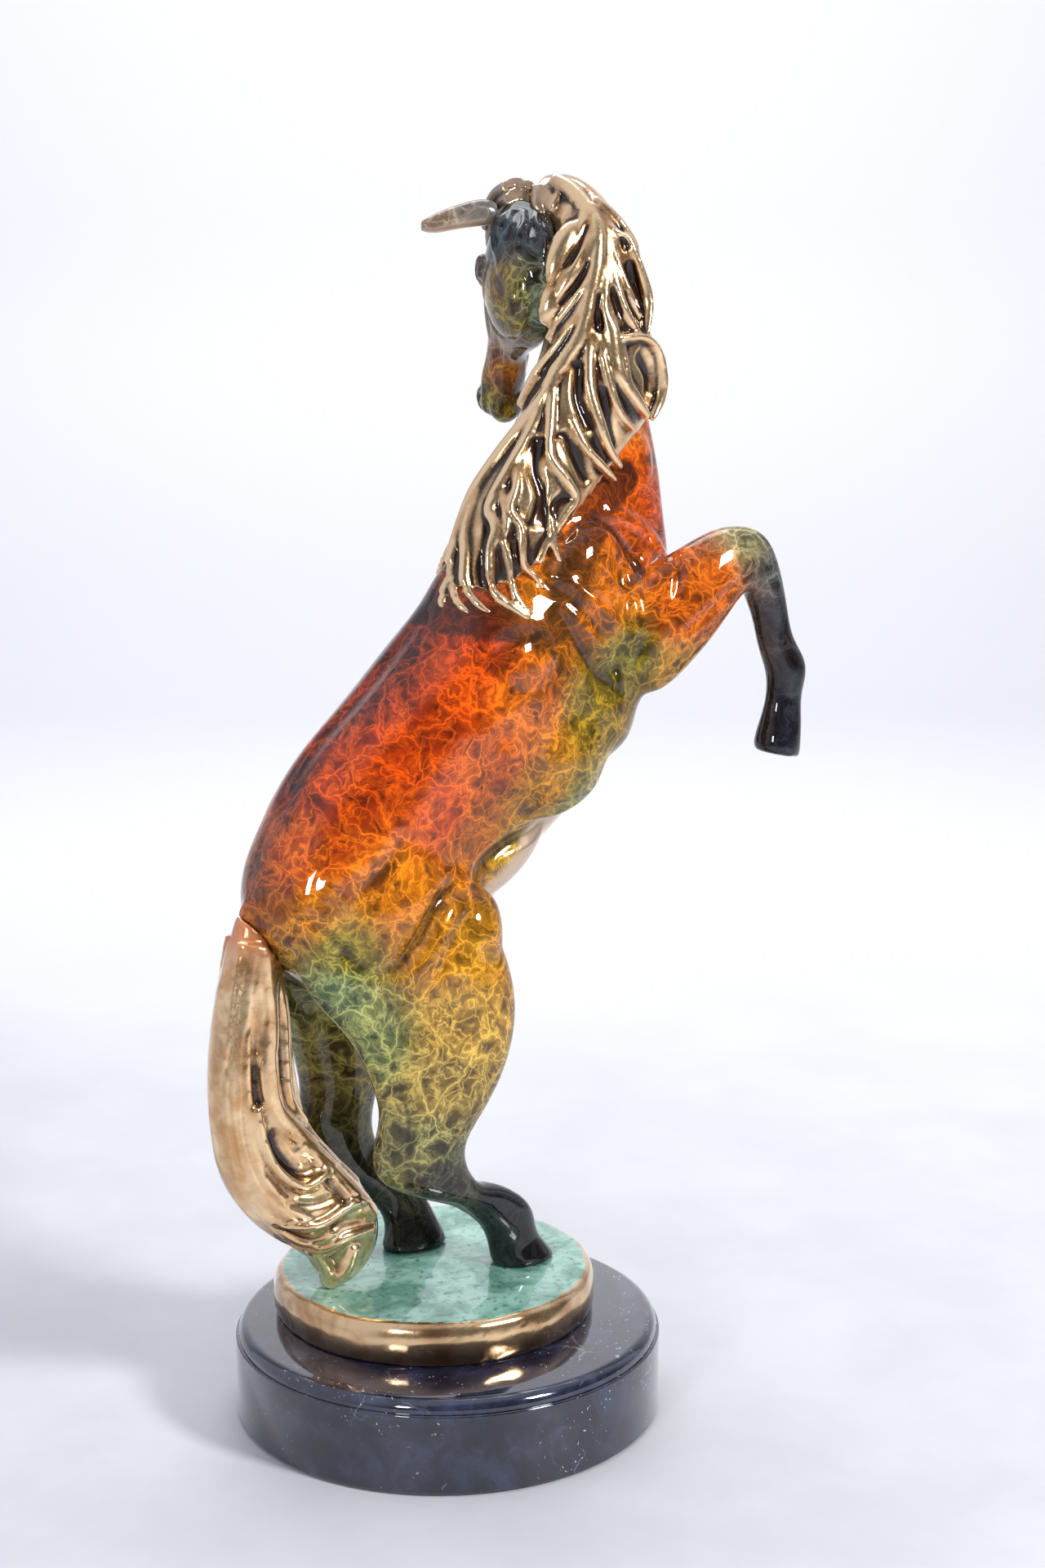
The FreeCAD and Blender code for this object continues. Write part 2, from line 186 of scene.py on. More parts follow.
def cad_wax(nodes: Sequence[str]) -> bmesh.types.BMesh:
    """Copies CAD nodes into one bmesh with their doubles merged.

    Args:
        nodes: the nodes' names.

    Returns:
        The bmesh, in metres.
    """
    bm = bmesh.new()
    for node in nodes:
        bm.from_mesh(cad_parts[node].data)
    bmesh.ops.remove_doubles(bm, verts=bm.verts, dist=0.002 * MM)
    return bm


class Wax:
    """A dense closed mesh that strokes push and pull, held as arrays in millimetres."""

    def __init__(self, bm: bmesh.types.BMesh, voxel: float) -> None:
        """Unites everything in a bmesh into one skin.

        Args:
            bm: the shapes to unite, in metres; it is freed.
            voxel: the grain of the skin, in millimetres.
        """
        source = object_from_bmesh(bm, "wax_source")
        remesh = source.modifiers.new("unite", "REMESH")
        remesh.mode = "VOXEL"
        remesh.voxel_size = voxel * MM
        graph = bpy.context.evaluated_depsgraph_get()
        self.mesh = bpy.data.meshes.new_from_object(source.evaluated_get(graph))
        bpy.data.objects.remove(source)
        self.keep_largest()

    def keep_largest(self) -> None:
        """Deletes every loose shell but the one with the most faces."""
        bm = bmesh.new()
        bm.from_mesh(self.mesh)
        unseen = set(bm.verts)
        shells = []
        while unseen:
            stack = [unseen.pop()]
            shell = list(stack)
            while stack:
                for edge in stack.pop().link_edges:
                    for vert in edge.verts:
                        if vert in unseen:
                            unseen.discard(vert)
                            stack.append(vert)
                            shell.append(vert)
            shells.append(shell)
        shells.sort(key=len)
        spare = [vert for shell in shells[:-1] for vert in shell]
        bmesh.ops.delete(bm, geom=spare, context="VERTS")
        bmesh.ops.recalc_face_normals(bm, faces=bm.faces)
        bm.to_mesh(self.mesh)
        bm.free()
        self.read()

    def read(self) -> None:
        """Reads the arrays from the mesh."""
        count = len(self.mesh.vertices)
        flat = np.empty(count * 3, np.float32)
        self.mesh.vertices.foreach_get("co", flat)
        self.co = flat.reshape(-1, 3).astype(float) / MM
        edges = np.empty(len(self.mesh.edges) * 2, np.int32)
        self.mesh.edges.foreach_get("vertices", edges)
        self.edges = edges.reshape(-1, 2)
        self.valence = np.bincount(self.edges.ravel(), minlength=count).astype(float)
        self.refresh()

    def refresh(self) -> None:
        """Writes the places back and renews the normals and the search tree."""
        self.mesh.vertices.foreach_set("co", (self.co * MM).astype(np.float32).ravel())
        self.mesh.update()
        flat = np.empty(len(self.co) * 3, np.float32)
        self.mesh.vertex_normals.foreach_get("vector", flat)
        self.normal = flat.reshape(-1, 3).astype(float)
        self.search: Optional[BVHTree] = None

    @property
    def tree(self) -> BVHTree:
        """The search tree of the skin as it was last refreshed."""
        if self.search is None:
            faces = [tuple(face.vertices) for face in self.mesh.polygons]
            self.search = BVHTree.FromPolygons(self.co.tolist(), faces)
        return self.search

    def neighbours(self, values: np.ndarray) -> np.ndarray:
        """Returns the mean over each vertex's neighbours of an array with one row a vertex."""
        a, b = self.edges[:, 0], self.edges[:, 1]
        total = np.zeros_like(values)
        count = len(values)
        for axis in range(values.shape[1]):
            column = values[:, axis]
            found = np.bincount(a, column[b], count) + np.bincount(b, column[a], count)
            total[:, axis] = found / self.valence
        return total

    def smooth(self, repeat: int, factor: float = 0.5, weight: Optional[np.ndarray] = None) -> None:
        """Evens the skin out.

        Args:
            repeat: how many passes.
            factor: how far each pass goes, 0 to 1.
            weight: a factor for each vertex.
        """
        share = factor if weight is None else factor * weight[:, None]
        for _ in range(repeat):
            self.co += (self.neighbours(self.co) - self.co) * share
        self.refresh()

    def snapped(self, points: Sequence[Point]) -> list[Point]:
        """Moves points to the nearest places on the skin."""
        return [tuple(self.tree.find_nearest(Vector(point))[0]) for point in points]

    def near(self, points: Sequence[Point], radius: float, step: float = 1.0) -> tuple[np.ndarray, ...]:
        """Finds the vertices near a path, on the side of the skin that the path lies on.

        Args:
            points: the path's points on the skin.
            radius: the reach.
            step: the spacing of the path's samples.

        Returns:
            The vertices' indexes, their distances over the radius, and their places along the path, 0 to 1.
        """
        path = smooth_path(points, step)
        low, high = path.min(0) - radius, path.max(0) + radius
        inside = np.where(((self.co > low) & (self.co < high)).all(1))[0]
        if not len(inside):
            return inside, np.zeros(0), np.zeros(0)
        span = ((self.co[inside, None, :] - path[None]) ** 2).sum(-1)
        nearest = span.argmin(1)
        distance = np.sqrt(span.min(1)) / radius
        facing = np.array([tuple(self.tree.find_nearest(Vector(p))[1]) for p in path])
        agrees = (self.normal[inside] * facing[nearest]).sum(1) > -0.1
        keep = (distance < 1.0) & agrees
        return inside[keep], distance[keep], nearest[keep] / max(1, len(path) - 1)

    def stroke(self, points: Sequence[Point], radius: float, height: float, sharp: float = 1.0,
               taper: float = 0.5) -> None:
        """Raises a ridge, or sinks a groove, along a path.

        Args:
            points: the path's points on the skin.
            radius: half the ridge's width.
            height: its height, or its depth if negative.
            sharp: how pointed its crest is; 1 is round.
            taper: how gently its ends fade, 0 to not at all.
        """
        if len(points) < 1:
            return
        inside, distance, along = self.near(points, radius)
        profile = np.clip(1.0 - distance ** (2.0 / sharp), 0.0, 1.0) ** 2
        if taper > 0 and len(points) > 1:
            profile = profile * np.clip(np.sin(np.pi * along), 0.0, 1.0) ** taper
        self.co[inside] += self.normal[inside] * (profile * height)[:, None]

    def blend(self, points: Sequence[Point], radius: float, repeat: int = 12) -> None:
        """Softens the skin near a path."""
        weight = np.zeros(len(self.co))
        inside, distance, _ = self.near(points, radius)
        weight[inside] = 1.0 - distance ** 2
        self.smooth(repeat, 0.6, weight)

    def cavity(self, spread: int) -> np.ndarray:
        """Measures how far each place lies below (positive) or above the skin around it, in millimetres."""
        even = self.co.copy()
        for _ in range(spread):
            even += (self.neighbours(even) - even) * 0.9
        depth = ((even - self.co) * self.normal).sum(1)[:, None]
        for _ in range(2):
            depth += (self.neighbours(depth) - depth) * 0.5
        return depth[:, 0]

    def store(self, name: str, values: np.ndarray) -> None:
        """Stores an attribute on the mesh: one number or one colour a vertex."""
        if values.ndim == 1:
            layer = self.mesh.attributes.new(name, "FLOAT", "POINT")
            layer.data.foreach_set("value", values.astype(np.float32))
        else:
            layer = self.mesh.attributes.new(name, "FLOAT_COLOR", "POINT")
            layer.data.foreach_set("color", values.astype(np.float32).ravel())


# ---------------------------------------------------------------- finishes


class NodeChain:
    """Adds and links shader nodes in one tree, so that a finish reads from top to bottom."""

    def __init__(self, tree: bpy.types.NodeTree) -> None:
        """Takes the tree that the nodes go in."""
        self.tree = tree

    def put(self, kind: str, settings: Optional[dict] = None, **inputs: object) -> bpy.types.Node:
        """Adds a node.

        Args:
            kind: the node's type name, without ShaderNode.
            settings: attributes to set on the node.
            inputs: values or outputs for its inputs, with _ for a space; a trailing number picks by place.

        Returns:
            The node.
        """
        node = self.tree.nodes.new("ShaderNode" + kind)
        for key, value in (settings or {}).items():
            setattr(node, key, value)
        for key, value in inputs.items():
            numbered = key[0] == "i" and key[1:].isdigit()
            socket = node.inputs[int(key[1:]) if numbered else key.replace("_", " ")]
            if isinstance(value, bpy.types.NodeSocket):
                self.tree.links.new(value, socket)
            else:
                socket.default_value = value
        return node

    def math(self, operation: str, a: object, b: object = 0.0, clamp: bool = False) -> bpy.types.NodeSocket:
        """Adds a Math node and returns its result."""
        return self.put("Math", {"operation": operation, "use_clamp": clamp}, i0=a, i1=b).outputs[0]

    def span(self, value: object, low: float, high: float, to_low: float = 0.0, to_high: float = 1.0
             ) -> bpy.types.NodeSocket:
        """Maps a range smoothly onto another and returns the result."""
        smooth = {"interpolation_type": "SMOOTHSTEP"}
        node = self.put("MapRange", smooth, Value=value, From_Min=low, From_Max=high, To_Min=to_low,
                        To_Max=to_high)
        return node.outputs["Result"]

    def dot(self, place: object, direction: Point) -> bpy.types.NodeSocket:
        """Measures places along a direction."""
        return self.put("VectorMath", {"operation": "DOT_PRODUCT"}, i0=place, i1=direction).outputs[1]

    def millimetres(self) -> bpy.types.NodeSocket:
        """Returns the places on the object in millimetres."""
        place = self.put("TexCoord").outputs["Object"]
        return self.put("VectorMath", {"operation": "SCALE"}, i0=place, Scale=1.0 / MM).outputs[0]

    def mix(self, share: object, a: object, b: object, blend: str = "MIX") -> bpy.types.NodeSocket:
        """Mixes two colours and returns the result."""
        node = self.put("Mix", {"data_type": "RGBA", "blend_type": blend}, i0=share, i6=a, i7=b)
        return node.outputs[2]

    def wander(self, place: object, scale: float, reach: float) -> bpy.types.NodeSocket:
        """Pushes places about with noise and returns them.

        Args:
            place: the places.
            scale: the noise's scale.
            reach: how far they go.

        Returns:
            The new places.
        """
        drift = self.put("TexNoise", Vector=place, Scale=scale, Detail=3.0, Roughness=0.55).outputs["Color"]
        centred = self.put("VectorMath", {"operation": "SUBTRACT"}, i0=drift, i1=(0.5, 0.5, 0.5)).outputs[0]
        push = self.put("VectorMath", {"operation": "SCALE"}, i0=centred, Scale=reach).outputs[0]
        return self.put("VectorMath", {"operation": "ADD"}, i0=place, i1=push).outputs[0]

    def attribute(self, name: str, colour: bool = False) -> bpy.types.NodeSocket:
        """Reads a mesh attribute."""
        node = self.put("Attribute", {"attribute_name": name})
        return node.outputs["Color" if colour else "Fac"]


def shader_group(name: str, inputs: dict[str, tuple[str, object]], outputs: dict[str, str]
                 ) -> tuple[bpy.types.NodeTree, NodeChain, bpy.types.Node, bpy.types.Node]:
    """Starts a shader node group with named sockets.

    Args:
        name: the group's name.
        inputs: each input's socket type and default value.
        outputs: each output's socket type.

    Returns:
        The group, a chain for it, its input node and its output node.
    """
    tree = bpy.data.node_groups.new(name, "ShaderNodeTree")
    for key, (kind, default) in inputs.items():
        socket = tree.interface.new_socket(key, in_out="INPUT", socket_type="NodeSocket" + kind)
        socket.default_value = default
    for key, kind in outputs.items():
        tree.interface.new_socket(key, in_out="OUTPUT", socket_type="NodeSocket" + kind)
    return tree, NodeChain(tree), tree.nodes.new("NodeGroupInput"), tree.nodes.new("NodeGroupOutput")


def vein_group() -> bpy.types.NodeTree:
    """Builds the web of fine filaments that hot patina leaves.

    The filaments are the crests of a ridged noise and the edges of warped cells. The group gives them, a
    wider glow around them and a cloud for mottling.
    """
    tree, chain, source, result = shader_group(
        "patina_veins", {"Cell": ("Float", 9.0), "Thin": ("Float", 1.0)},
        {"Vein": "Float", "Glow": "Float", "Cloud": "Float"})
    millimetres = chain.millimetres()
    scaled = chain.put("VectorMath", {"operation": "SCALE"}, i0=millimetres,
                       Scale=chain.math("DIVIDE", 1.0, source.outputs["Cell"])).outputs[0]
    warped = chain.wander(scaled, 0.9, 1.1)
    twice = chain.wander(warped, 3.0, 0.35)
    patchy = chain.put("TexNoise", Vector=scaled, Scale=0.7, Detail=4.0, Roughness=0.6).outputs["Fac"]
    ridged = {"noise_type": "RIDGED_MULTIFRACTAL", "normalize": False}
    ridges = chain.put("TexNoise", ridged, Vector=twice, Scale=1.6, Detail=5.0, Roughness=0.62,
                       Lacunarity=2.1, Offset=1.0, Gain=2.0).outputs["Fac"]
    vein = chain.math("MULTIPLY", chain.span(ridges, 1.7, 2.5), 0.9)
    glow = chain.math("MULTIPLY", chain.span(ridges, 1.0, 2.3), 0.85)
    edges = {"feature": "DISTANCE_TO_EDGE"}
    for scale, width, share in ((0.8, 0.023, 1.0), (2.0, 0.027, 0.75)):
        cells = chain.put("TexVoronoi", edges, Vector=twice, Scale=scale).outputs["Distance"]
        thin = chain.math("DIVIDE", cells, chain.math("MULTIPLY", source.outputs["Thin"], width))
        vein = chain.math("MAXIMUM", vein, chain.math("MULTIPLY", chain.span(thin, 1.0, 0.0), share))
        halo = chain.math("MULTIPLY", chain.span(thin, 5.0, 0.0), share * 0.65)
        glow = chain.math("MAXIMUM", glow, halo)
    strength = chain.span(patchy, 0.36, 0.6, 0.5, 1.0)
    cloud = chain.put("TexNoise", Vector=twice, Scale=2.2, Detail=6.0, Roughness=0.62).outputs["Fac"]
    tree.links.new(chain.math("MULTIPLY", vein, strength), result.inputs["Vein"])
    tree.links.new(chain.math("MULTIPLY", glow, strength), result.inputs["Glow"])
    tree.links.new(cloud, result.inputs["Cloud"])
    return tree


def wear_group() -> bpy.types.NodeTree:
    """Builds the mask of polished ridges against dark hollows, from the stored hollow depth."""
    tree, chain, source, result = shader_group(
        "ridge_wear", {"Depth": ("Float", 0.6), "Ragged": ("Float", 0.4)},
        {"Hollow": "Float", "Ridge": "Float"})
    millimetres = chain.millimetres()
    rag = chain.put("TexNoise", Vector=millimetres, Scale=0.8, Detail=5.0, Roughness=0.65).outputs["Fac"]
    shift = chain.math("MULTIPLY", chain.math("SUBTRACT", rag, 0.5), source.outputs["Ragged"])
    depth = chain.math("DIVIDE", chain.attribute("hollow"), source.outputs["Depth"])
    ragged = chain.math("ADD", depth, shift)
    tree.links.new(chain.span(ragged, 0.05, 0.95), result.inputs["Hollow"])
    tree.links.new(chain.span(ragged, -0.15, -0.8), result.inputs["Ridge"])
    return tree


@dataclass(frozen=True)
class Lacquer:
    """The clear gloss coat that seals every bronze piece."""

    weight: float = 1.0
    roughness: float = 0.03
    ior: float = 1.5

    def brush_on(self, shader: bpy.types.Node) -> None:
        """Sets a Principled shader's coat."""
        shader.inputs["Coat Weight"].default_value = self.weight
        shader.inputs["Coat Roughness"].default_value = self.roughness
        shader.inputs["Coat IOR"].default_value = self.ior


def new_material(name: str) -> tuple[bpy.types.Material, NodeChain, bpy.types.Node]:
    """Starts a material.

    Args:
        name: the material's name.

    Returns:
        The material, a chain for its tree and its Principled shader.
    """
    material = bpy.data.materials.new(name)
    material.use_nodes = True
    tree = material.node_tree
    return material, NodeChain(tree), tree.nodes["Principled BSDF"]


@dataclass(frozen=True)
class PatinaFinish:
    """Hot patina under lacquer: the painted ground and vein colours, webbed with filaments."""

    name: str
    cell: float = 18.0
    thin: float = 1.0
    glow: float = 0.62
    metallic: float = 0.12
    roughness: float = 0.36
    lacquer: Lacquer = field(default_factory=Lacquer)

    def make(self, veins: bpy.types.NodeTree) -> bpy.types.Material:
        """Builds the material.

        Args:
            veins: the shared group of filaments.

        Returns:
            The material.
        """
        material, chain, shader = new_material(self.name)
        web = chain.put("Group", {"node_tree": veins}, Cell=self.cell, Thin=self.thin)
        ground = chain.attribute("ground", colour=True)
        vein = chain.attribute("vein", colour=True)
        hollow = chain.attribute("hollow")
        cloud = web.outputs["Cloud"]
        dark = chain.mix(chain.span(cloud, 0.58, 0.4, 0.0, 0.6), ground, (0.010, 0.005, 0.002, 1.0))
        glowing = chain.mix(chain.math("MULTIPLY", web.outputs["Glow"], self.glow), dark, vein)
        webbed = chain.mix(web.outputs["Vein"], glowing, vein)
        # Darkens recesses to the dark patina in them; on the body this also lays the painted shade along the
        # mane's lower edge.
        shaded = chain.mix(chain.span(hollow, 0.15, 0.95, 0.0, 0.7), webbed, (0.012, 0.007, 0.004, 1.0))
        polish = chain.attribute("polish")
        final = chain.mix(polish, shaded, linear(216, 190, 164))
        chain.tree.links.new(final, shader.inputs["Base Color"])
        chain.tree.links.new(chain.span(polish, 0.0, 1.0, self.metallic, 0.9), shader.inputs["Metallic"])
        chain.tree.links.new(chain.span(web.outputs["Vein"], 0.0, 1.0, self.roughness, self.roughness + 0.12),
                             shader.inputs["Roughness"])
        shader.inputs["Specular IOR Level"].default_value = 0.0
        bump = chain.put("Bump", Strength=0.1, Distance=0.15 * MM, Height=cloud)
        chain.tree.links.new(bump.outputs[0], shader.inputs["Normal"])
        self.lacquer.brush_on(shader)
        return material


@dataclass(frozen=True)
class PolishedFinish:
    """Polished bronze with dark hollows, as on hair and rims."""

    name: str
    bright: tuple[float, float, float] = (244, 208, 160)
    warm: tuple[float, float, float] = (206, 156, 100)
    deep: tuple[float, float, float] = (38, 22, 12)
    depth: float = 0.42
    roughness: float = 0.2
    lacquer: Lacquer = field(default_factory=Lacquer)

    def make(self, wear: bpy.types.NodeTree) -> bpy.types.Material:
        """Builds the material.

        Args:
            wear: the shared group of ridges and hollows.

        Returns:
            The material.
        """
        material, chain, shader = new_material(self.name)
        mask = chain.put("Group", {"node_tree": wear}, Depth=self.depth, Ragged=0.7)
        place = chain.put("TexCoord").outputs["Object"]
        large = chain.put("TexNoise", Vector=place, Scale=75.0, Detail=4.0, Roughness=0.6).outputs["Fac"]
        tone = chain.mix(chain.span(large, 0.35, 0.65), linear(*self.warm), linear(*self.bright))
        ridged = chain.mix(mask.outputs["Ridge"], tone, linear(*self.bright))
        hollowed = chain.mix(mask.outputs["Hollow"], ridged, linear(*self.deep))
        stain = chain.attribute("stain", colour=True)
        share = chain.attribute("stain_share")
        stained = chain.mix(share, hollowed, stain)
        chain.tree.links.new(stained, shader.inputs["Base Color"])
        chain.tree.links.new(chain.span(share, 0.2, 0.8, 0.95, 0.35), shader.inputs["Metallic"])
        speck = chain.put("TexNoise", Vector=place, Scale=900.0, Detail=3.0, Roughness=0.7).outputs["Fac"]
        rough = chain.math("ADD", chain.math("MULTIPLY", mask.outputs["Hollow"], 0.22),
                           chain.span(speck, 0.3, 0.8, self.roughness - 0.04, self.roughness + 0.08))
        chain.tree.links.new(rough, shader.inputs["Roughness"])
        bump = chain.put("Bump", Strength=0.25, Distance=0.15 * MM, Height=speck)
        chain.tree.links.new(bump.outputs[0], shader.inputs["Normal"])
        self.lacquer.brush_on(shader)
        return material


# ---------------------------------------------------------------- patina painting


class Spot(NamedTuple):
    """A place where the patina is known: its ground and vein colours, as display colours."""

    place: Point
    ground: tuple[int, int, int]
    vein: tuple[int, int, int]
    side: Optional[Side] = None


def paint(co: np.ndarray, spots: Sequence[Spot], middle: float = HORSE_Y) -> tuple[np.ndarray, np.ndarray]:
    """Blends spots over a skin.

    Args:
        co: the vertices' places.
        spots: the spots; y is measured from the middle plane, towards the spot's side or towards both.
        middle: y of the middle plane.

    Returns:
        The ground colour and the vein colour of each vertex.
    """
    ground = np.zeros((len(co), 4))
    vein = np.zeros((len(co), 4))
    total = np.zeros((len(co), 1))
    for spot in spots:
        across = co[:, 1] - middle
        across = np.abs(across) if spot.side is None else across * spot.side.value
        along, out, up = spot.place
        gap = (co[:, 0] - along) ** 2 + (across - out) ** 2 + (co[:, 2] - up) ** 2
        weight = (1.0 / (gap + 30.0) ** 2)[:, None]
        ground += weight * np.array(linear(*spot.ground))
        vein += weight * np.array(linear(*spot.vein))
        total += weight
    return ground / total, vein / total


def ramp(values: np.ndarray, low: float, high: float) -> np.ndarray:
    """Maps values smoothly from 0 at ``low`` to 1 at ``high``."""
    t = np.clip((values - low) / (high - low), 0.0, 1.0)
    return t * t * (3.0 - 2.0 * t)


# ---------------------------------------------------------------- shapes


def pour(source: bmesh.types.BMesh, bm: bmesh.types.BMesh) -> None:
    """Adds one bmesh to another and frees it; a shape is quick to make in a bmesh of its own."""
    mesh = bpy.data.meshes.new("poured")
    source.to_mesh(mesh)
    source.free()
    bm.from_mesh(mesh)
    bpy.data.meshes.remove(mesh)


def ball(bm: bmesh.types.BMesh, centre: Point, radii: Point, turn: Point = (0.0, 0.0, 0.0),
         frame_turn: Optional[Matrix] = None) -> None:
    """Adds an ellipsoid to wax.

    Args:
        bm: where it goes.
        centre: its middle, in millimetres.
        radii: its half sizes.
        turn: its rotation about x, y and z, in degrees.
        frame_turn: carries it from another frame, in millimetres, into the part's frame.
    """
    angles = Euler([math.radians(angle) for angle in turn]).to_matrix().to_4x4()
    local = Matrix.Translation(Vector(centre)) @ angles @ Matrix.Diagonal((*radii, 1.0))
    whole = Matrix.Scale(MM, 4) @ (frame_turn or Matrix.Identity(4)) @ local
    lump = bmesh.new()
    bmesh.ops.create_uvsphere(lump, u_segments=28, v_segments=16, radius=1.0, matrix=whole)
    pour(lump, bm)


@dataclass(frozen=True)
class Lock:
    """A lock of hair, or a strap of muscle: a flattened cord along a path that tapers at both ends."""

    path: tuple[Point, ...]
    width: float
    height: float
    root: float = 0.5
    tip: float = 0.12
    lift: float = 0.0

    def lay(self, bm: bmesh.types.BMesh, base: Wax, step: float = 1.6) -> None:
        """Adds the lock to wax.

        Args:
            bm: where it goes.
            base: the skin that it lies on.
            step: the spacing of its sections.
        """
        path = smooth_path(self.path, step)
        fresh_step = np.linalg.norm(np.diff(path, axis=0), axis=1) > 0.25 * step
        path = path[np.concatenate([[True], fresh_step])]
        runs = np.gradient(path, axis=0)
        cord = bmesh.new()
        last_matrix = None
        edges: list[bmesh.types.BMEdge] = []
        for index, place in enumerate(path):
            run = Vector(runs[index]).normalized()
            outward = Vector(base.tree.find_nearest(Vector(place))[1])
            side = run.cross(outward)
            if side.length < LEAST_TURN:
                continue
            side.normalize()
            outward = side.cross(run)
            along = index / (len(path) - 1)
            body = math.sin(math.pi * min(1.0, max(0.0, along * 0.86 + 0.07))) ** 0.6
            share = self.root * (1.0 - along) ** 3 + self.tip * along ** 3 + body
            share = min(1.0, share)
            centre = Vector(place) + outward * self.lift * body
            rows = (side * self.width * share, outward * self.height * share, run)
            turn = Matrix(rows).transposed().to_4x4()
            matrix = Matrix.Scale(MM, 4) @ Matrix.Translation(centre) @ turn
            if last_matrix is None:
                made = bmesh.ops.create_circle(cord, cap_ends=True, radius=1.0, segments=12, matrix=matrix)
                edges = list({edge for vert in made["verts"] for edge in vert.link_edges})
            else:
                grown = bmesh.ops.extrude_edge_only(cord, edges=edges)["geom"]
                fresh = {item for item in grown if isinstance(item, bmesh.types.BMVert)}
                edges = [item for item in grown if isinstance(item, bmesh.types.BMEdge)
                         and item.verts[0] in fresh and item.verts[1] in fresh]
                bmesh.ops.transform(cord, matrix=matrix @ last_matrix.inverted(), verts=list(fresh))
            last_matrix = matrix
        bmesh.ops.contextual_create(cord, geom=edges)
        pour(cord, bm)


def both_sides(path: Sequence[Point]) -> list[list[Point]]:
    """Returns a path and its mirror image in the horse's middle plane."""
    return [list(path), [(x, 2 * HORSE_Y - y, z) for x, y, z in path]]


# ---------------------------------------------------------------- pieces


@dataclass
class Piece:
    """A finished piece of the object, ready to ride on the frame."""

    mesh: bpy.types.Mesh
    name: str
    material: bpy.types.Material
    slot: Slot
    nodes: tuple[str, ...]

    def place(self) -> bpy.types.Object:
        """Links the piece, dresses it and ties it to the frame."""
        thing = object_from(self.mesh, self.name)
        self.mesh.materials.clear()
        self.mesh.materials.append(self.material)
        for face in self.mesh.polygons:
            face.material_index = 0
        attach(thing, "root")
        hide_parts(*self.nodes)
        self.mesh.calc_loop_triangles()
        log.info("%s: %d triangles for %s", self.name, len(self.mesh.loop_triangles), ", ".join(self.nodes))
        return thing


def shade_smooth(mesh: bpy.types.Mesh) -> None:
    """Shades every face of a mesh smooth."""
    mesh.polygons.foreach_set("use_smooth", [True] * len(mesh.polygons))
    mesh.update()


@dataclass(frozen=True)
class Parting:
    """A flat joint between two castings: a point on it, its direction and how far the cut reaches."""

    middle: Point
    normal: Point
    reach: float
    side: Optional[Side] = None

    def cut(self, bm: bmesh.types.BMesh, wall: bmesh.types.BMLayerItem) -> None:
        """Cuts the skin along the joint.

        Args:
            bm: the skin.
            wall: the layer that marks the new edges.
        """
        centre = Vector(self.middle)
        reach = (self.reach * MM) ** 2
        verts = set()
        for vert in bm.verts:
            if self.side is not None and (vert.co.y / MM - HORSE_Y) * self.side.value < 0:
                continue
            if (vert.co - centre * MM).length_squared < reach:
                verts.add(vert)
        edges = {edge for vert in verts for edge in vert.link_edges if edge.other_vert(vert) in verts}
        near = {face for edge in edges for face in edge.link_faces}
        faces = {face for face in near if all(v in verts for v in face.verts)}
        found = bmesh.ops.bisect_plane(bm, geom=[*verts, *edges, *faces], dist=0.02 * MM,
                                       plane_co=centre * MM, plane_no=Vector(self.normal))
        axis = Vector(self.normal)
        for edge in edges:
            if edge.is_valid and edge[wall] and (edge.verts[0].co / MM - centre).dot(axis) > 0.3:
                edge[wall] = 0
        for item in found["geom_cut"]:
            if isinstance(item, bmesh.types.BMEdge):
                item[wall] = 1


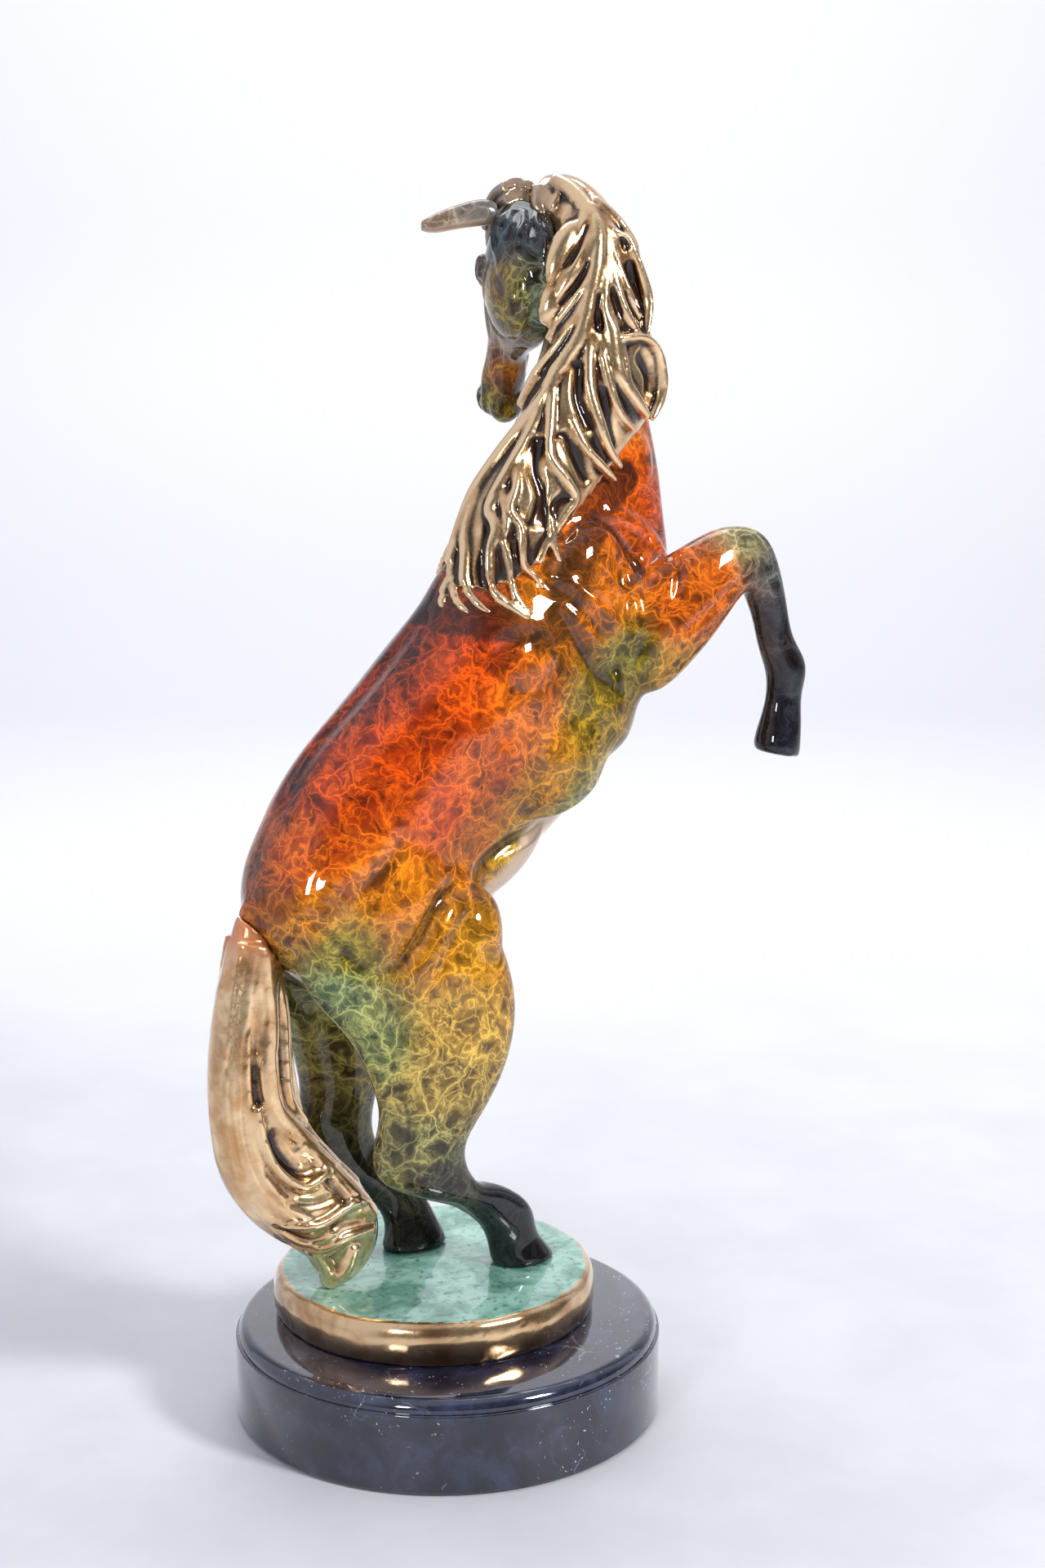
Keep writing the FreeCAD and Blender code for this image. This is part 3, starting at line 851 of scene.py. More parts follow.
class Foundry:
    """Parts one skin into castings, each closed at its joints and shaded as if they were still one."""

    def __init__(self, wax: Wax, partings: Sequence[Parting]) -> None:
        """Cuts the skin.

        Args:
            wax: the joined skin, in its final shape.
            partings: its joints.
        """
        self.bm = bmesh.new()
        self.bm.from_mesh(wax.mesh)
        for axis in range(3):
            layer = self.bm.verts.layers.float.new("joined_" + str(axis))
            for vert, value in zip(self.bm.verts, wax.normal[:, axis]):
                vert[layer] = value
        self.wall = self.bm.edges.layers.int.new("wall")
        for parting in partings:
            parting.cut(self.bm, self.wall)
        self.free = set(self.bm.faces)

    def casting(self, seed: Point) -> bpy.types.Mesh:
        """Takes the casting that holds a point out of the skin.

        Args:
            seed: a point on or near the casting.

        Returns:
            Its mesh, closed.
        """
        centre = Vector(seed) * MM
        first = min(self.free, key=lambda face: (face.calc_center_median() - centre).length_squared)
        self.free.discard(first)
        stack = [first]
        chosen = [first]
        while stack:
            for edge in stack.pop().edges:
                if edge[self.wall]:
                    continue
                for face in edge.link_faces:
                    if face in self.free:
                        self.free.discard(face)
                        stack.append(face)
                        chosen.append(face)
        return self.close(chosen)

    def close(self, chosen: list[bmesh.types.BMFace]) -> bpy.types.Mesh:
        """Copies faces to a mesh of their own and closes its openings.

        Args:
            chosen: the faces.

        Returns:
            The mesh.
        """
        for face in self.bm.faces:
            face.tag = False
        for face in chosen:
            face.tag = True
        part = self.bm.copy()
        spare = [twin for face, twin in zip(self.bm.faces, part.faces) if not face.tag]
        bmesh.ops.delete(part, geom=spare, context="FACES")
        bmesh.ops.holes_fill(part, edges=[edge for edge in part.edges if edge.is_boundary])
        bmesh.ops.triangulate(part, faces=[face for face in part.faces if len(face.verts) > 6])
        mesh = bpy.data.meshes.new("casting")
        part.to_mesh(mesh)
        part.free()
        shade_smooth(mesh)
        self.keep_shading(mesh)
        return mesh

    def keep_shading(self, mesh: bpy.types.Mesh) -> None:
        """Gives the skin of a casting the joined skin's normals and its caps flat ones."""
        count = len(mesh.vertices)
        joined = np.empty((count, 3), np.float32)
        for axis in range(3):
            column = np.empty(count, np.float32)
            mesh.attributes["joined_" + str(axis)].data.foreach_get("value", column)
            joined[:, axis] = column
        corners = np.empty(len(mesh.loops), np.int32)
        mesh.loops.foreach_get("vertex_index", corners)
        sizes = np.empty(len(mesh.polygons), np.int32)
        mesh.polygons.foreach_get("loop_total", sizes)
        flat = np.empty(len(mesh.polygons) * 3, np.float32)
        mesh.polygons.foreach_get("normal", flat)
        facing = np.repeat(flat.reshape(-1, 3), sizes, axis=0)
        normals = joined[corners]
        normals /= np.maximum(np.linalg.norm(normals, axis=1), 1e-6)[:, None]
        owner = np.repeat(np.arange(len(sizes)), sizes)
        agree = np.bincount(owner, (normals * facing).sum(1)) / sizes
        normals = np.where((agree > CAP_AGREEMENT)[owner][:, None], normals, facing)
        mesh.normals_split_custom_set(normals.astype(float).tolist())
        for axis in range(3):
            mesh.attributes.remove(mesh.attributes["joined_" + str(axis)])


# ---------------------------------------------------------------- the horse's body


@dataclass
class Body:
    """The trunk, neck and legs: modelled as one wax and parted into the castings."""

    voxel: float = 1.15
    trunk_nodes: tuple[str, ...] = ("trunk", "neck", "right_foreleg", "left_foreleg", "right_hind_leg",
                                    "left_hind_leg")
    spots: tuple[Spot, ...] = (
        Spot((-72, 4, 240), (60, 28, 14), (186, 90, 34)),
        Spot((-60, 0, 272), (46, 18, 16), (160, 58, 30)),
        Spot((-33, 0, 304), (48, 20, 22), (176, 70, 40)),
        Spot((-8, 0, 330), (50, 20, 22), (176, 64, 34)),
        Spot((5, 4, 350), (54, 22, 14), (176, 70, 30)),
        Spot((-50, 20, 272), (140, 38, 2), (255, 98, 8)),
        Spot((-28, 28, 288), (142, 38, 2), (252, 94, 6)),
        Spot((-8, 30, 302), (138, 38, 2), (246, 92, 8)),
        Spot((8, 28, 325), (118, 34, 4), (232, 84, 12)),
        Spot((-12, 34, 262), (150, 50, 4), (255, 106, 16)),
        Spot((12, 35, 280), (136, 56, 4), (244, 112, 18)),
        Spot((30, 32, 305), (128, 64, 6), (240, 120, 22)),
        Spot((8, 34, 248), (130, 66, 6), (236, 128, 24)),
        Spot((35, 32, 262), (112, 72, 10), (226, 150, 34)),
        Spot((30, 22, 240), (96, 78, 18), (206, 162, 52)),
        Spot((55, 22, 258), (86, 84, 34), (186, 172, 74)),
        Spot((45, 28, 335), (128, 74, 8), (230, 128, 26)),
        Spot((62, 30, 340), (130, 72, 8), (236, 122, 24)),
        Spot((85, 18, 385), (142, 56, 6), (250, 108, 18)),
        Spot((98, 12, 378), (136, 48, 6), (240, 96, 18)),
        Spot((112, 0, 362), (84, 16, 3), (190, 60, 12)),
        Spot((112, 8, 335), (104, 34, 6), (220, 88, 16)),
        Spot((78, 30, 318), (70, 66, 16), (168, 150, 46)),
        Spot((62, 30, 300), (80, 68, 14), (186, 150, 40)),
        Spot((100, 40, 338), (140, 60, 6), (246, 118, 24)),
        Spot((114, 44, 348), (138, 62, 8), (240, 118, 26)),
        Spot((102, 40, 308), (92, 66, 12), (200, 140, 36)),
        Spot((132, 44, 366), (96, 96, 64), (186, 176, 128)),
        Spot((148, 45, 352), (34, 38, 42), (110, 116, 112)),
        Spot((150, 45, 330), (10, 11, 17), (44, 50, 60)),
        Spot((158, 45, 300), (8, 9, 15), (38, 42, 54)),
        Spot((155, 45, 276), (8, 8, 13), (36, 40, 50)),
        Spot((130, 56, 318), (14, 16, 20), (60, 66, 70), Side.LEFT),
        Spot((120, 56, 298), (10, 11, 17), (44, 50, 60), Side.LEFT),
        Spot((115, 56, 274), (8, 9, 14), (38, 42, 54), Side.LEFT),
        Spot((-70, 16, 246), (156, 54, 4), (255, 122, 24)),
        Spot((-62, 24, 254), (156, 50, 4), (255, 116, 20)),
        Spot((-64, 22, 226), (140, 70, 8), (240, 152, 40)),
        Spot((-56, 30, 210), (88, 76, 18), (190, 170, 58)),
        Spot((-58, 30, 194), (62, 84, 50), (186, 198, 126)),
        Spot((-46, 38, 172), (66, 80, 42), (188, 192, 108)),
        Spot((-30, 36, 232), (150, 80, 6), (252, 146, 28)),
        Spot((-18, 40, 212), (140, 86, 10), (246, 164, 40)),
        Spot((2, 42, 205), (134, 90, 12), (242, 170, 46)),
        Spot((-10, 44, 175), (118, 86, 22), (238, 188, 72)),
        Spot((-14, 44, 150), (104, 80, 30), (230, 196, 96)),
        Spot((-25, 42, 125), (62, 58, 34), (184, 176, 104), Side.RIGHT),
        Spot((-12, 41, 106), (20, 20, 20), (84, 84, 70), Side.RIGHT),
        Spot((20, 38, 92), (7, 8, 13), (36, 40, 48), Side.RIGHT),
        Spot((30, 34, 64), (8, 7, 10), (38, 38, 44), Side.RIGHT),
        Spot((-26, 43, 150), (70, 68, 54), (176, 172, 110), Side.LEFT),
        Spot((-34, 44, 120), (20, 26, 22), (96, 104, 50), Side.LEFT),
        Spot((-10, 40, 90), (8, 12, 12), (42, 50, 46), Side.LEFT),
        Spot((0, 34, 62), (8, 10, 10), (38, 44, 40), Side.LEFT),
        Spot((70, 14, 440), (96, 52, 16), (206, 118, 40)),
        Spot((95, 14, 420), (120, 60, 14), (220, 120, 34)),
    )
    spine: Stroke = Stroke(((-70, 14, 262), (-48, 14, 290), (-20, 14, 320), (0, 14, 342)), 9.0, -1.6)
    # Painted shade: a path along the mane's lower edge, where the skin is darkened as if shaded by the mane.
    mane_edge_painted_shade: tuple[Point, ...] = (
        (84, -10, 390), (72, -12, 382), (60, -14, 370), (52, -15, 350), (46, -16, 336), (34, -17, 330),
        (20, -15, 336), (10, -10, 338), (0, 0, 340), (-2, 12, 342))
    muscles: tuple[Mass, ...] = (
        Mass((-44, 13, 250), (24, 18, 19), (0, 38, 0)),
        Mass((47, 13, 276), (30, 22, 25), (0, -20, 0)),
        Mass((69, 11, 296), (23, 20, 26), (0, -12, 0)),
        Mass((82, 10, 306), (16, 17, 18)),
        Mass((24, 10, 238), (30, 12, 16), (0, -38, 0)),
        Mass((-30, 22, 222), (28, 17, 36), (0, 18, 0)),
        Mass((-62, 16, 214), (10, 13, 26), (0, -20, 0)),
        Mass((4, 26, 205), (15, 13, 24), (0, 16, 0)),
        Mass((28, 22, 318), (24, 15, 18), (0, -35, 0)),
        Mass((64, 21, 333), (27, 13, 20), (0, 30, 0)),
        Mass((60, 22, 352), (22, 9, 15), (0, -52, 0)),
        Mass((92, 12, 342), (22, 13, 22)),
        Mass((82, 9, 385), (20, 9, 30), (0, 16, 0)),
    )
    softenings: tuple[Softening, ...] = (
        Softening(((-52, -10, 262), (-30, -17, 252), (-4, -16, 238), (14, -16, 216)), 12.0, 40),
        Softening(((62, -12, 318), (74, -12, 345), (84, -10, 362), (100, -4, 368)), 11.0, 40),
        Softening(((70, -6, 302), (86, -4, 300), (100, 4, 312)), 9.0, 30),
        Softening(((30, -18, 272), (40, -16, 290), (56, -12, 300), (74, -4, 292)), 16.0, 90),
        Softening(((46, -14, 268), (60, -10, 276), (72, -4, 280)), 13.0, 50),
    )
    strokes: tuple[Stroke, ...] = (
        Stroke(((-1, -17, 233), (-12, -20, 229), (-19, -22, 222), (-26, -24, 212), (-34, -24, 203),
                (-45, -21, 199)), 5.0, -2.6),
        Stroke(((4, -19, 226), (-8, -22, 221), (-15, -24, 213), (-22, -26, 204),
                (-32, -26, 196)), 6.5, 2.0),
        Stroke(((-36, -18, 262), (-39, -20, 253), (-48, -20, 245), (-59, -17, 239),
                (-61, -18, 231)), 6.0, 1.1),
        Stroke(((-30, -20, 258), (-33, -20, 247), (-44, -21, 238), (-54, -19, 231)), 7.0, -0.8, 0.9),
        Stroke(((-69, -13, 228), (-64, -17, 220), (-55, -17, 211), (-46, -21, 201)), 4.5, -1.7),
        Stroke(((-42, -22, 197), (-37, -24, 186), (-31, -25, 175), (-20, -27, 165)), 5.0, -1.6),
        Stroke(((-8, -28, 196), (-8, -29, 180), (-12, -29, 165), (-18, -28, 150)), 7.0, -1.1),
        Stroke(((-34, -21, 150), (-29, -22, 139), (-30, -22, 125), (-32, -20, 117)), 3.6, -1.6, 1.2),
        Stroke(((-50, -18, 168), (-46, -20, 152), (-41, -20, 136), (-41, -19, 124)), 4.0, 1.2),
        Stroke(((73, -6, 378), (83, -5, 374), (93, -4, 368), (102, -2, 360),
                (104, -10, 352)), 5.0, 1.9, 1.1),
        Stroke(((57, -7, 370), (66, -8, 367), (75, -9, 361), (81, -10, 352), (82, -11, 341), (81, -18, 334),
                (81, -19, 321)), 4.6, 1.8, 1.2),
        Stroke(((64, -8, 376), (74, -7, 369), (82, -8, 362), (88, -9, 352),
                (89, -12, 342)), 4.2, -2.2, 1.2),
        Stroke(((42, -9, 356), (52, -12, 350), (62, -14, 341), (72, -14, 331),
                (78, -18, 322)), 4.6, 1.5, 1.2),
        Stroke(((40, -9, 350), (50, -12, 343), (59, -15, 335), (68, -16, 326),
                (75, -17, 316)), 4.2, -1.6, 1.2),
        Stroke(((42, -15, 340), (49, -17, 333), (57, -17, 321), (65, -15, 310),
                (76, -10, 300)), 5.4, -2.0, 1.1),
        Stroke(((96, -23, 340), (92, -23, 330), (90, -22, 318)), 4.0, 1.1, 1.2),
        Stroke(((104, -12, 356), (101, -20, 350), (98, -22, 340)), 3.4, -1.8, 1.2),
        Stroke(((84, -17, 328), (83, -18, 320), (80, -15, 310)), 4.0, -1.8, 1.2),
        Stroke(((100, -22, 326), (114, -26, 336), (126, -26, 346), (136, -25, 352)), 3.4, -1.2, 1.2),
        Stroke(((70, -4, 280), (62, -6, 266), (48, -7, 256), (30, -10, 252), (15, -12, 246),
                (2, -14, 235)), 4.6, 1.2, 1.1),
        Stroke(((66, -1, 270), (58, -3, 256), (44, -5, 247), (28, -8, 243), (14, -10, 236),
                (6, -12, 226)), 5.4, -3.0),
        Stroke(((34, -14, 300), (20, -20, 292), (6, -21, 286)), 9.0, -0.8),
        Stroke(((-4, -17, 300), (12, -19, 284), (24, -20, 268), (30, -18, 250)), 9.0, 0.7),
    )
    keel: tuple[Point, ...] = ((56, 2, 252), (42, 1, 240), (30, 1, 230), (20, 2, 220))
    partings: dict[str, Parting] = field(default_factory=lambda: {
        "neck": Parting((64.5, 14, 355), (0.118, 0.0, 0.993), 120.0),
        "right_foreleg": Parting((114, -14, 339), (0.9893, 0.0, -0.1466), 60.0, Side.RIGHT),
        "left_foreleg": Parting(LEFT_KNEE_JOINT, LEFT_KNEE_AXIS, 56.0, Side.LEFT),
        "right_hind_leg": Parting((-11, -13.5, 173), (0.249, 0.0, -0.9685), 46.0, Side.RIGHT),
        "left_hind_leg": Parting((-24, 42, 168), (0.266, 0.0, -0.964), 44.0, Side.LEFT),
    })
    seeds: dict[str, Point] = field(default_factory=lambda: {
        "right_foreleg": (155.0, -17.0, 275.0),
        "left_foreleg": (115.0, 66.0, 275.0),
        "right_hind_leg": (33.0, -4.5, 64.0),
        "left_hind_leg": (2.0, 33.0, 62.0),
        "neck": (108.0, 14.0, 400.0),
        "trunk": (-20.0, -20.0, 270.0),
    })

    def wax(self) -> Wax:
        """Builds the joined skin with its muscles, tendons and joints."""
        bm = cad_wax(self.trunk_nodes)
        self.add_muscles(bm)
        skin = Wax(bm, self.voxel)
        log.info("body skin: %d vertices", len(skin.co))
        skin.smooth(8, 0.6)
        self.blend_joints(skin)
        self.carve(skin)
        return skin

    def add_muscles(self, bm: bmesh.types.BMesh) -> None:
        """Adds the muscle masses and the joints' bones."""
        for sign in (-1, 1):
            for muscle in self.muscles:
                x, depth, z = muscle.centre
                ball(bm, (x, HORSE_Y + sign * depth, z), muscle.radii, muscle.turn)

    def blend_joints(self, skin: Wax) -> None:
        """Softens the places where limbs run into the trunk."""
        for softening in self.softenings:
            for path in both_sides(softening.path):
                skin.blend(skin.snapped(path), softening.radius, softening.repeat)

    def carve(self, skin: Wax) -> None:
        """Strokes in the folds, muscle edges and tendons."""
        for stroke in self.strokes:
            for copy in both_sides(stroke.path):
                skin.stroke(skin.snapped(copy), stroke.radius, stroke.height, stroke.sharp)
            skin.refresh()
        skin.stroke(skin.snapped(self.spine.path), self.spine.radius, self.spine.height)
        skin.refresh()
        skin.smooth(2, 0.5)

    def colour(self, skin: Wax) -> None:
        """Stores the patina's colours, hollows with painted shade along the mane's lower edge, and polish."""
        ground, vein = paint(skin.co, self.spots)
        skin.store("ground", ground)
        skin.store("vein", vein)
        hollow = np.clip(skin.cavity(14) * 1.6, 0.0, 1.0)
        # Painted shade: the skin along the mane's lower edge, on both sides, goes into the hollow attribute
        # and darkens.
        for shadow in (self.mane_edge_painted_shade, [(px, 2 * HORSE_Y - py, pz) for px, py, pz in self.mane_edge_painted_shade]):
            inside, distance, _ = skin.near(skin.snapped(shadow), 11.0)
            hollow[inside] = np.maximum(hollow[inside], 1.0 - ramp(distance, 0.45, 1.0))
        skin.store("hollow", hollow)
        x, depth, z = skin.co[:, 0], np.abs(skin.co[:, 1] - HORSE_Y), skin.co[:, 2]
        belly = ramp(-skin.normal[:, 2] + 0.35 * skin.normal[:, 0], 0.72, 1.0) * ramp(x, -4.0, 12.0)
        belly = belly * ramp(-x, -92.0, -70.0) * ramp(-depth, -26.0, -14.0) * ramp(-z, -330.0, -300.0)
        polish = belly * ramp(z, 196.0, 214.0) * 0.85
        for copy in both_sides(self.keel):
            inside, distance, _ = skin.near(skin.snapped(copy), 13.0)
            polish[inside] = np.maximum(polish[inside], (1.0 - ramp(distance, 0.6, 1.0)) * 0.9)
        skin.store("polish", polish)

    def build(self, material: bpy.types.Material) -> list[Piece]:
        """Builds the castings.

        Args:
            material: their finish.

        Returns:
            The pieces.
        """
        skin = self.wax()
        self.colour(skin)
        foundry = Foundry(skin, list(self.partings.values()))
        pieces = []
        for name, seed in self.seeds.items():
            mesh = foundry.casting(seed)
            pieces.append(Piece(mesh, "cast_" + name, material, Slot.PATINA, (name,)))
        foundry.bm.free()
        return pieces


# ---------------------------------------------------------------- head and ears


@dataclass
class Head:
    """The head: cheeks, jaw, eyes, nostrils and mouth, modelled in the head's own frame."""

    voxel: float = 0.5
    spots: tuple[Spot, ...] = (
        Spot((52, 18, 488), (7, 9, 15), (62, 72, 84)),
        Spot((42, 30, 486), (8, 14, 18), (78, 96, 104)),
        Spot((40, 26, 466), (84, 50, 26), (206, 160, 30)),
        Spot((44, 22, 458), (76, 46, 24), (196, 168, 40)),
        Spot((50, 18, 462), (16, 24, 26), (176, 190, 110)),
        Spot((58, 14, 458), (8, 18, 22), (140, 184, 180)),
        Spot((62, 14, 478), (7, 9, 15), (60, 72, 84)),
        Spot((46, 30, 440), (46, 28, 20), (160, 118, 50)),
        Spot((58, 56, 429), (92, 34, 14), (210, 140, 50)),
        Spot((62, 66, 416), (62, 50, 18), (190, 176, 60)),
        Spot((70, 58, 422), (16, 14, 18), (100, 86, 60)),
        Spot((70, 42, 445), (14, 14, 18), (90, 80, 66)),
        Spot((62, 40, 500), (10, 12, 18), (70, 76, 84)),
    )

    paired: tuple[Mass, ...] = (
        Mass((25, 8.5, -27), (19, 7.8, 20.5), (0, 8, 0)),
        Mass((30, 10.4, -6.5), (8.5, 4.4, 5.6), (0, 8, 0)),
        Mass((29.5, 12.2, -8.2), (4.2, 3.2, 4.0)),
        Mass((46, 8.8, -14.5), (19, 2.6, 4.4), (0, 13, 9)),
        Mass((88, 5.6, -20), (8.5, 3.8, 7.0), (0, -12, 0)),
        Mass((6, 8.0, -14), (8, 5, 9)),
    )
    middle: tuple[Mass, ...] = (
        Mass((86, 0, -28), (9.5, 7.6, 5.4), (0, 8, 0)),
        Mass((66, 0, -22), (26, 8.6, 8.6), (0, 6, 0)),
    )
    strokes: tuple[Stroke, ...] = (
        Stroke(((8, 14, -8), (10, 15, -24), (14, 13, -40), (26, 11, -48), (38, 10, -46)), 4.0, 1.0, 1.1),
        Stroke(((43, 12, -36), (45, 12, -26), (42, 13, -18)), 4.2, -1.3, 1.1),
        Stroke(((20, 15, -11), (27, 15, -13.5), (36, 14, -12.5)), 2.6, -1.1, 1.2),
        Stroke(((24, 13, -3.5), (30, 14, -1.8), (37, 12, -4.0)), 2.4, 1.1, 1.2),
        Stroke(((24.6, 15.5, -8.2), (27.2, 16, -5.6), (31.0, 16, -5.2), (34.4, 15, -8.0)), 1.1, -0.7, 1.2),
        Stroke(((24.8, 15.5, -8.8), (28.4, 16, -11.4), (32.2, 16, -10.8),
                (34.6, 15, -8.4)), 1.0, -0.6, 1.2),
        Stroke(((25.2, 16, -8.0), (28.2, 16.6, -4.4), (32.4, 16.4, -4.4), (35.6, 15, -7.6)), 1.3, 0.7, 1.2),
        Stroke(((50, 9, -11), (62, 8, -13), (76, 8, -15)), 3.0, -0.7),
        Stroke(((48, 8, -28), (60, 8, -27), (72, 8.5, -27)), 3.4, -0.9),
        Stroke(((86, 8.5, -20.0), (89.5, 8.6, -18.6), (92.5, 7.4, -19.2), (93, 6.6, -21.4)), 1.7, -1.7),
        Stroke(((84, 9, -18.4), (89, 9, -16.2), (94, 6.6, -18.6), (94.8, 5, -22.2)), 1.5, 0.8, 1.2),
        Stroke(((97, 3, -25.2), (92, 8, -25.4), (86, 9, -24.8), (80, 9.2, -24.2)), 1.1, -1.1),
        Stroke(((94, 6, -23.4), (88, 9, -23.0), (82, 9.6, -22.6)), 1.6, 0.5, 1.2),
        Stroke(((20, 6, 4), (32, 7, 2), (44, 7, -2), (58, 6, -6)), 3.0, 0.5),
        Stroke(((14, 9, 2), (22, 12, -2), (24, 14, -8)), 3.2, -0.9),
        Stroke(((16, 13, -16), (28, 13, -18), (40, 11, -19)), 2.8, 0.8, 1.2),
    )
    curls: tuple[Stroke, ...] = (
        Stroke(((60, 24, 500), (56, 20, 493), (56, 17, 485), (54, 15, 478)), 2.0, 1.7, 1.1),
        Stroke(((54, 27, 499), (51, 22, 492), (49, 20, 484), (50, 18, 477)), 2.0, 1.5, 1.1),
        Stroke(((48, 31, 498), (45, 27, 491), (43, 25, 484)), 2.0, 1.5, 1.1),
        Stroke(((43, 36, 495), (40, 33, 488), (38, 31, 481)), 1.8, 1.3, 1.1),
        Stroke(((58, 22, 497), (53, 20, 488), (52, 18, 481)), 1.4, -1.0, 1.1),
        Stroke(((51, 28, 497), (47, 24, 489), (46, 22, 482)), 1.4, -1.0, 1.1),
        Stroke(((45, 33, 495), (42, 30, 487), (40, 28, 481)), 1.3, -0.9, 1.1),
    )

    def at(self, points: Sequence[Point]) -> list[Point]:
        """Carries points from the head's frame into the part's."""
        return [tuple(HEAD_TURN @ Vector(point)) for point in points]

    def build(self, material: bpy.types.Material) -> list[Piece]:
        """Models the head.

        Args:
            material: its finish.

        Returns:
            The piece.
        """
        bm = cad_wax(("head",))
        for sign in (-1, 1):
            for mass in self.paired:
                x, y, z = mass.centre
                about_x, about_y, about_z = mass.turn
                ball(bm, (x, sign * y, z), mass.radii, (about_x, about_y, -sign * about_z), HEAD_TURN)
        for mass in self.middle:
            ball(bm, mass.centre, mass.radii, mass.turn, HEAD_TURN)
        skin = Wax(bm, self.voxel)
        skin.smooth(5, 0.6)
        for sign in (-1, 1):
            self.carve(skin, sign)
        for curl in self.curls:
            skin.stroke(skin.snapped(curl.path), curl.radius, curl.height, curl.sharp)
        skin.refresh()
        skin.smooth(1, 0.5)
        ground, vein = paint(skin.co, self.spots, 0.0)
        skin.store("ground", ground)
        skin.store("vein", vein)
        skin.store("hollow", np.clip(skin.cavity(12) * 2.2, 0.0, 1.0))
        skin.store("polish", np.zeros(len(skin.co)))
        shade_smooth(skin.mesh)
        return [Piece(skin.mesh, "cast_head", material, Slot.PATINA, ("head",))]

    def carve(self, skin: Wax, sign: int) -> None:
        """Strokes one side of the head.

        Args:
            skin: the head's wax.
            sign: 1 for the head's left side, -1 for its right.
        """
        for stroke in self.strokes:
            turned = self.at([(x, sign * y, z) for x, y, z in stroke.path])
            skin.stroke(skin.snapped(turned), stroke.radius, stroke.height, stroke.sharp)
        skin.refresh()


@dataclass
class Ear:
    """One ear: a leaf with a scooped front."""

    side: Side
    voxel: float = 0.42
    scoop: tuple[Point, ...] = ((5, 13, 6), (6.5, 22, 6), (9, 33, 4))
    spots: tuple[Spot, ...] = (
        Spot((40, 34, 496), (104, 98, 92), (178, 160, 140)),
        Spot((18, 46, 492), (142, 122, 104), (214, 182, 150)),
        Spot((51, 32, 500), (60, 62, 74), (140, 140, 140)),
        Spot((100, 20, 505), (150, 120, 100), (220, 190, 160)),
    )

    def build(self, material: bpy.types.Material) -> list[Piece]:
        """Models the ear.

        Args:
            material: its finish.

        Returns:
            The piece.
        """
        node = "left_ear" if self.side is Side.LEFT else "right_ear"
        skin = Wax(cad_wax((node,)), self.voxel)
        skin.smooth(3, 0.5)
        sign = self.side.value
        scoop = [tuple(HEAD_TURN @ Vector((x, sign * y, z))) for x, y, z in self.scoop]
        skin.stroke(skin.snapped(scoop), 3.4, -2.4, 0.8, 0.6)
        skin.refresh()
        skin.smooth(2, 0.5)
        ground, vein = paint(skin.co, self.spots, 0.0)
        skin.store("ground", ground)
        skin.store("vein", vein)
        skin.store("hollow", np.clip(skin.cavity(10) * 1.5, 0.0, 1.0))
        under = ramp(-skin.normal[:, 2], 0.25, 0.8)
        skin.store("polish", under * 0.8)
        shade_smooth(skin.mesh)
        return [Piece(skin.mesh, "cast_" + node, material, Slot.PATINA, (node,))]


# ---------------------------------------------------------------- mane, forelock and tail


def store_hair(skin: Wax, stain: np.ndarray, share: np.ndarray, spread: int = 10, gain: float = 1.0,
               shade: Optional[np.ndarray] = None) -> None:
    """Stores the attributes of polished hair.

    Args:
        skin: the hair's wax.
        stain: a patina colour for each vertex.
        share: how much of it shows.
        spread: how wide the hollows are that darken.
        gain: how strongly they darken.
        shade: a depth added to each vertex's own, where all but the ridges is dark.
    """
    hollow = skin.cavity(spread) * gain
    skin.store("hollow", hollow if shade is None else hollow + shade)
    skin.store("stain", stain)
    skin.store("stain_share", share)
    shade_smooth(skin.mesh)


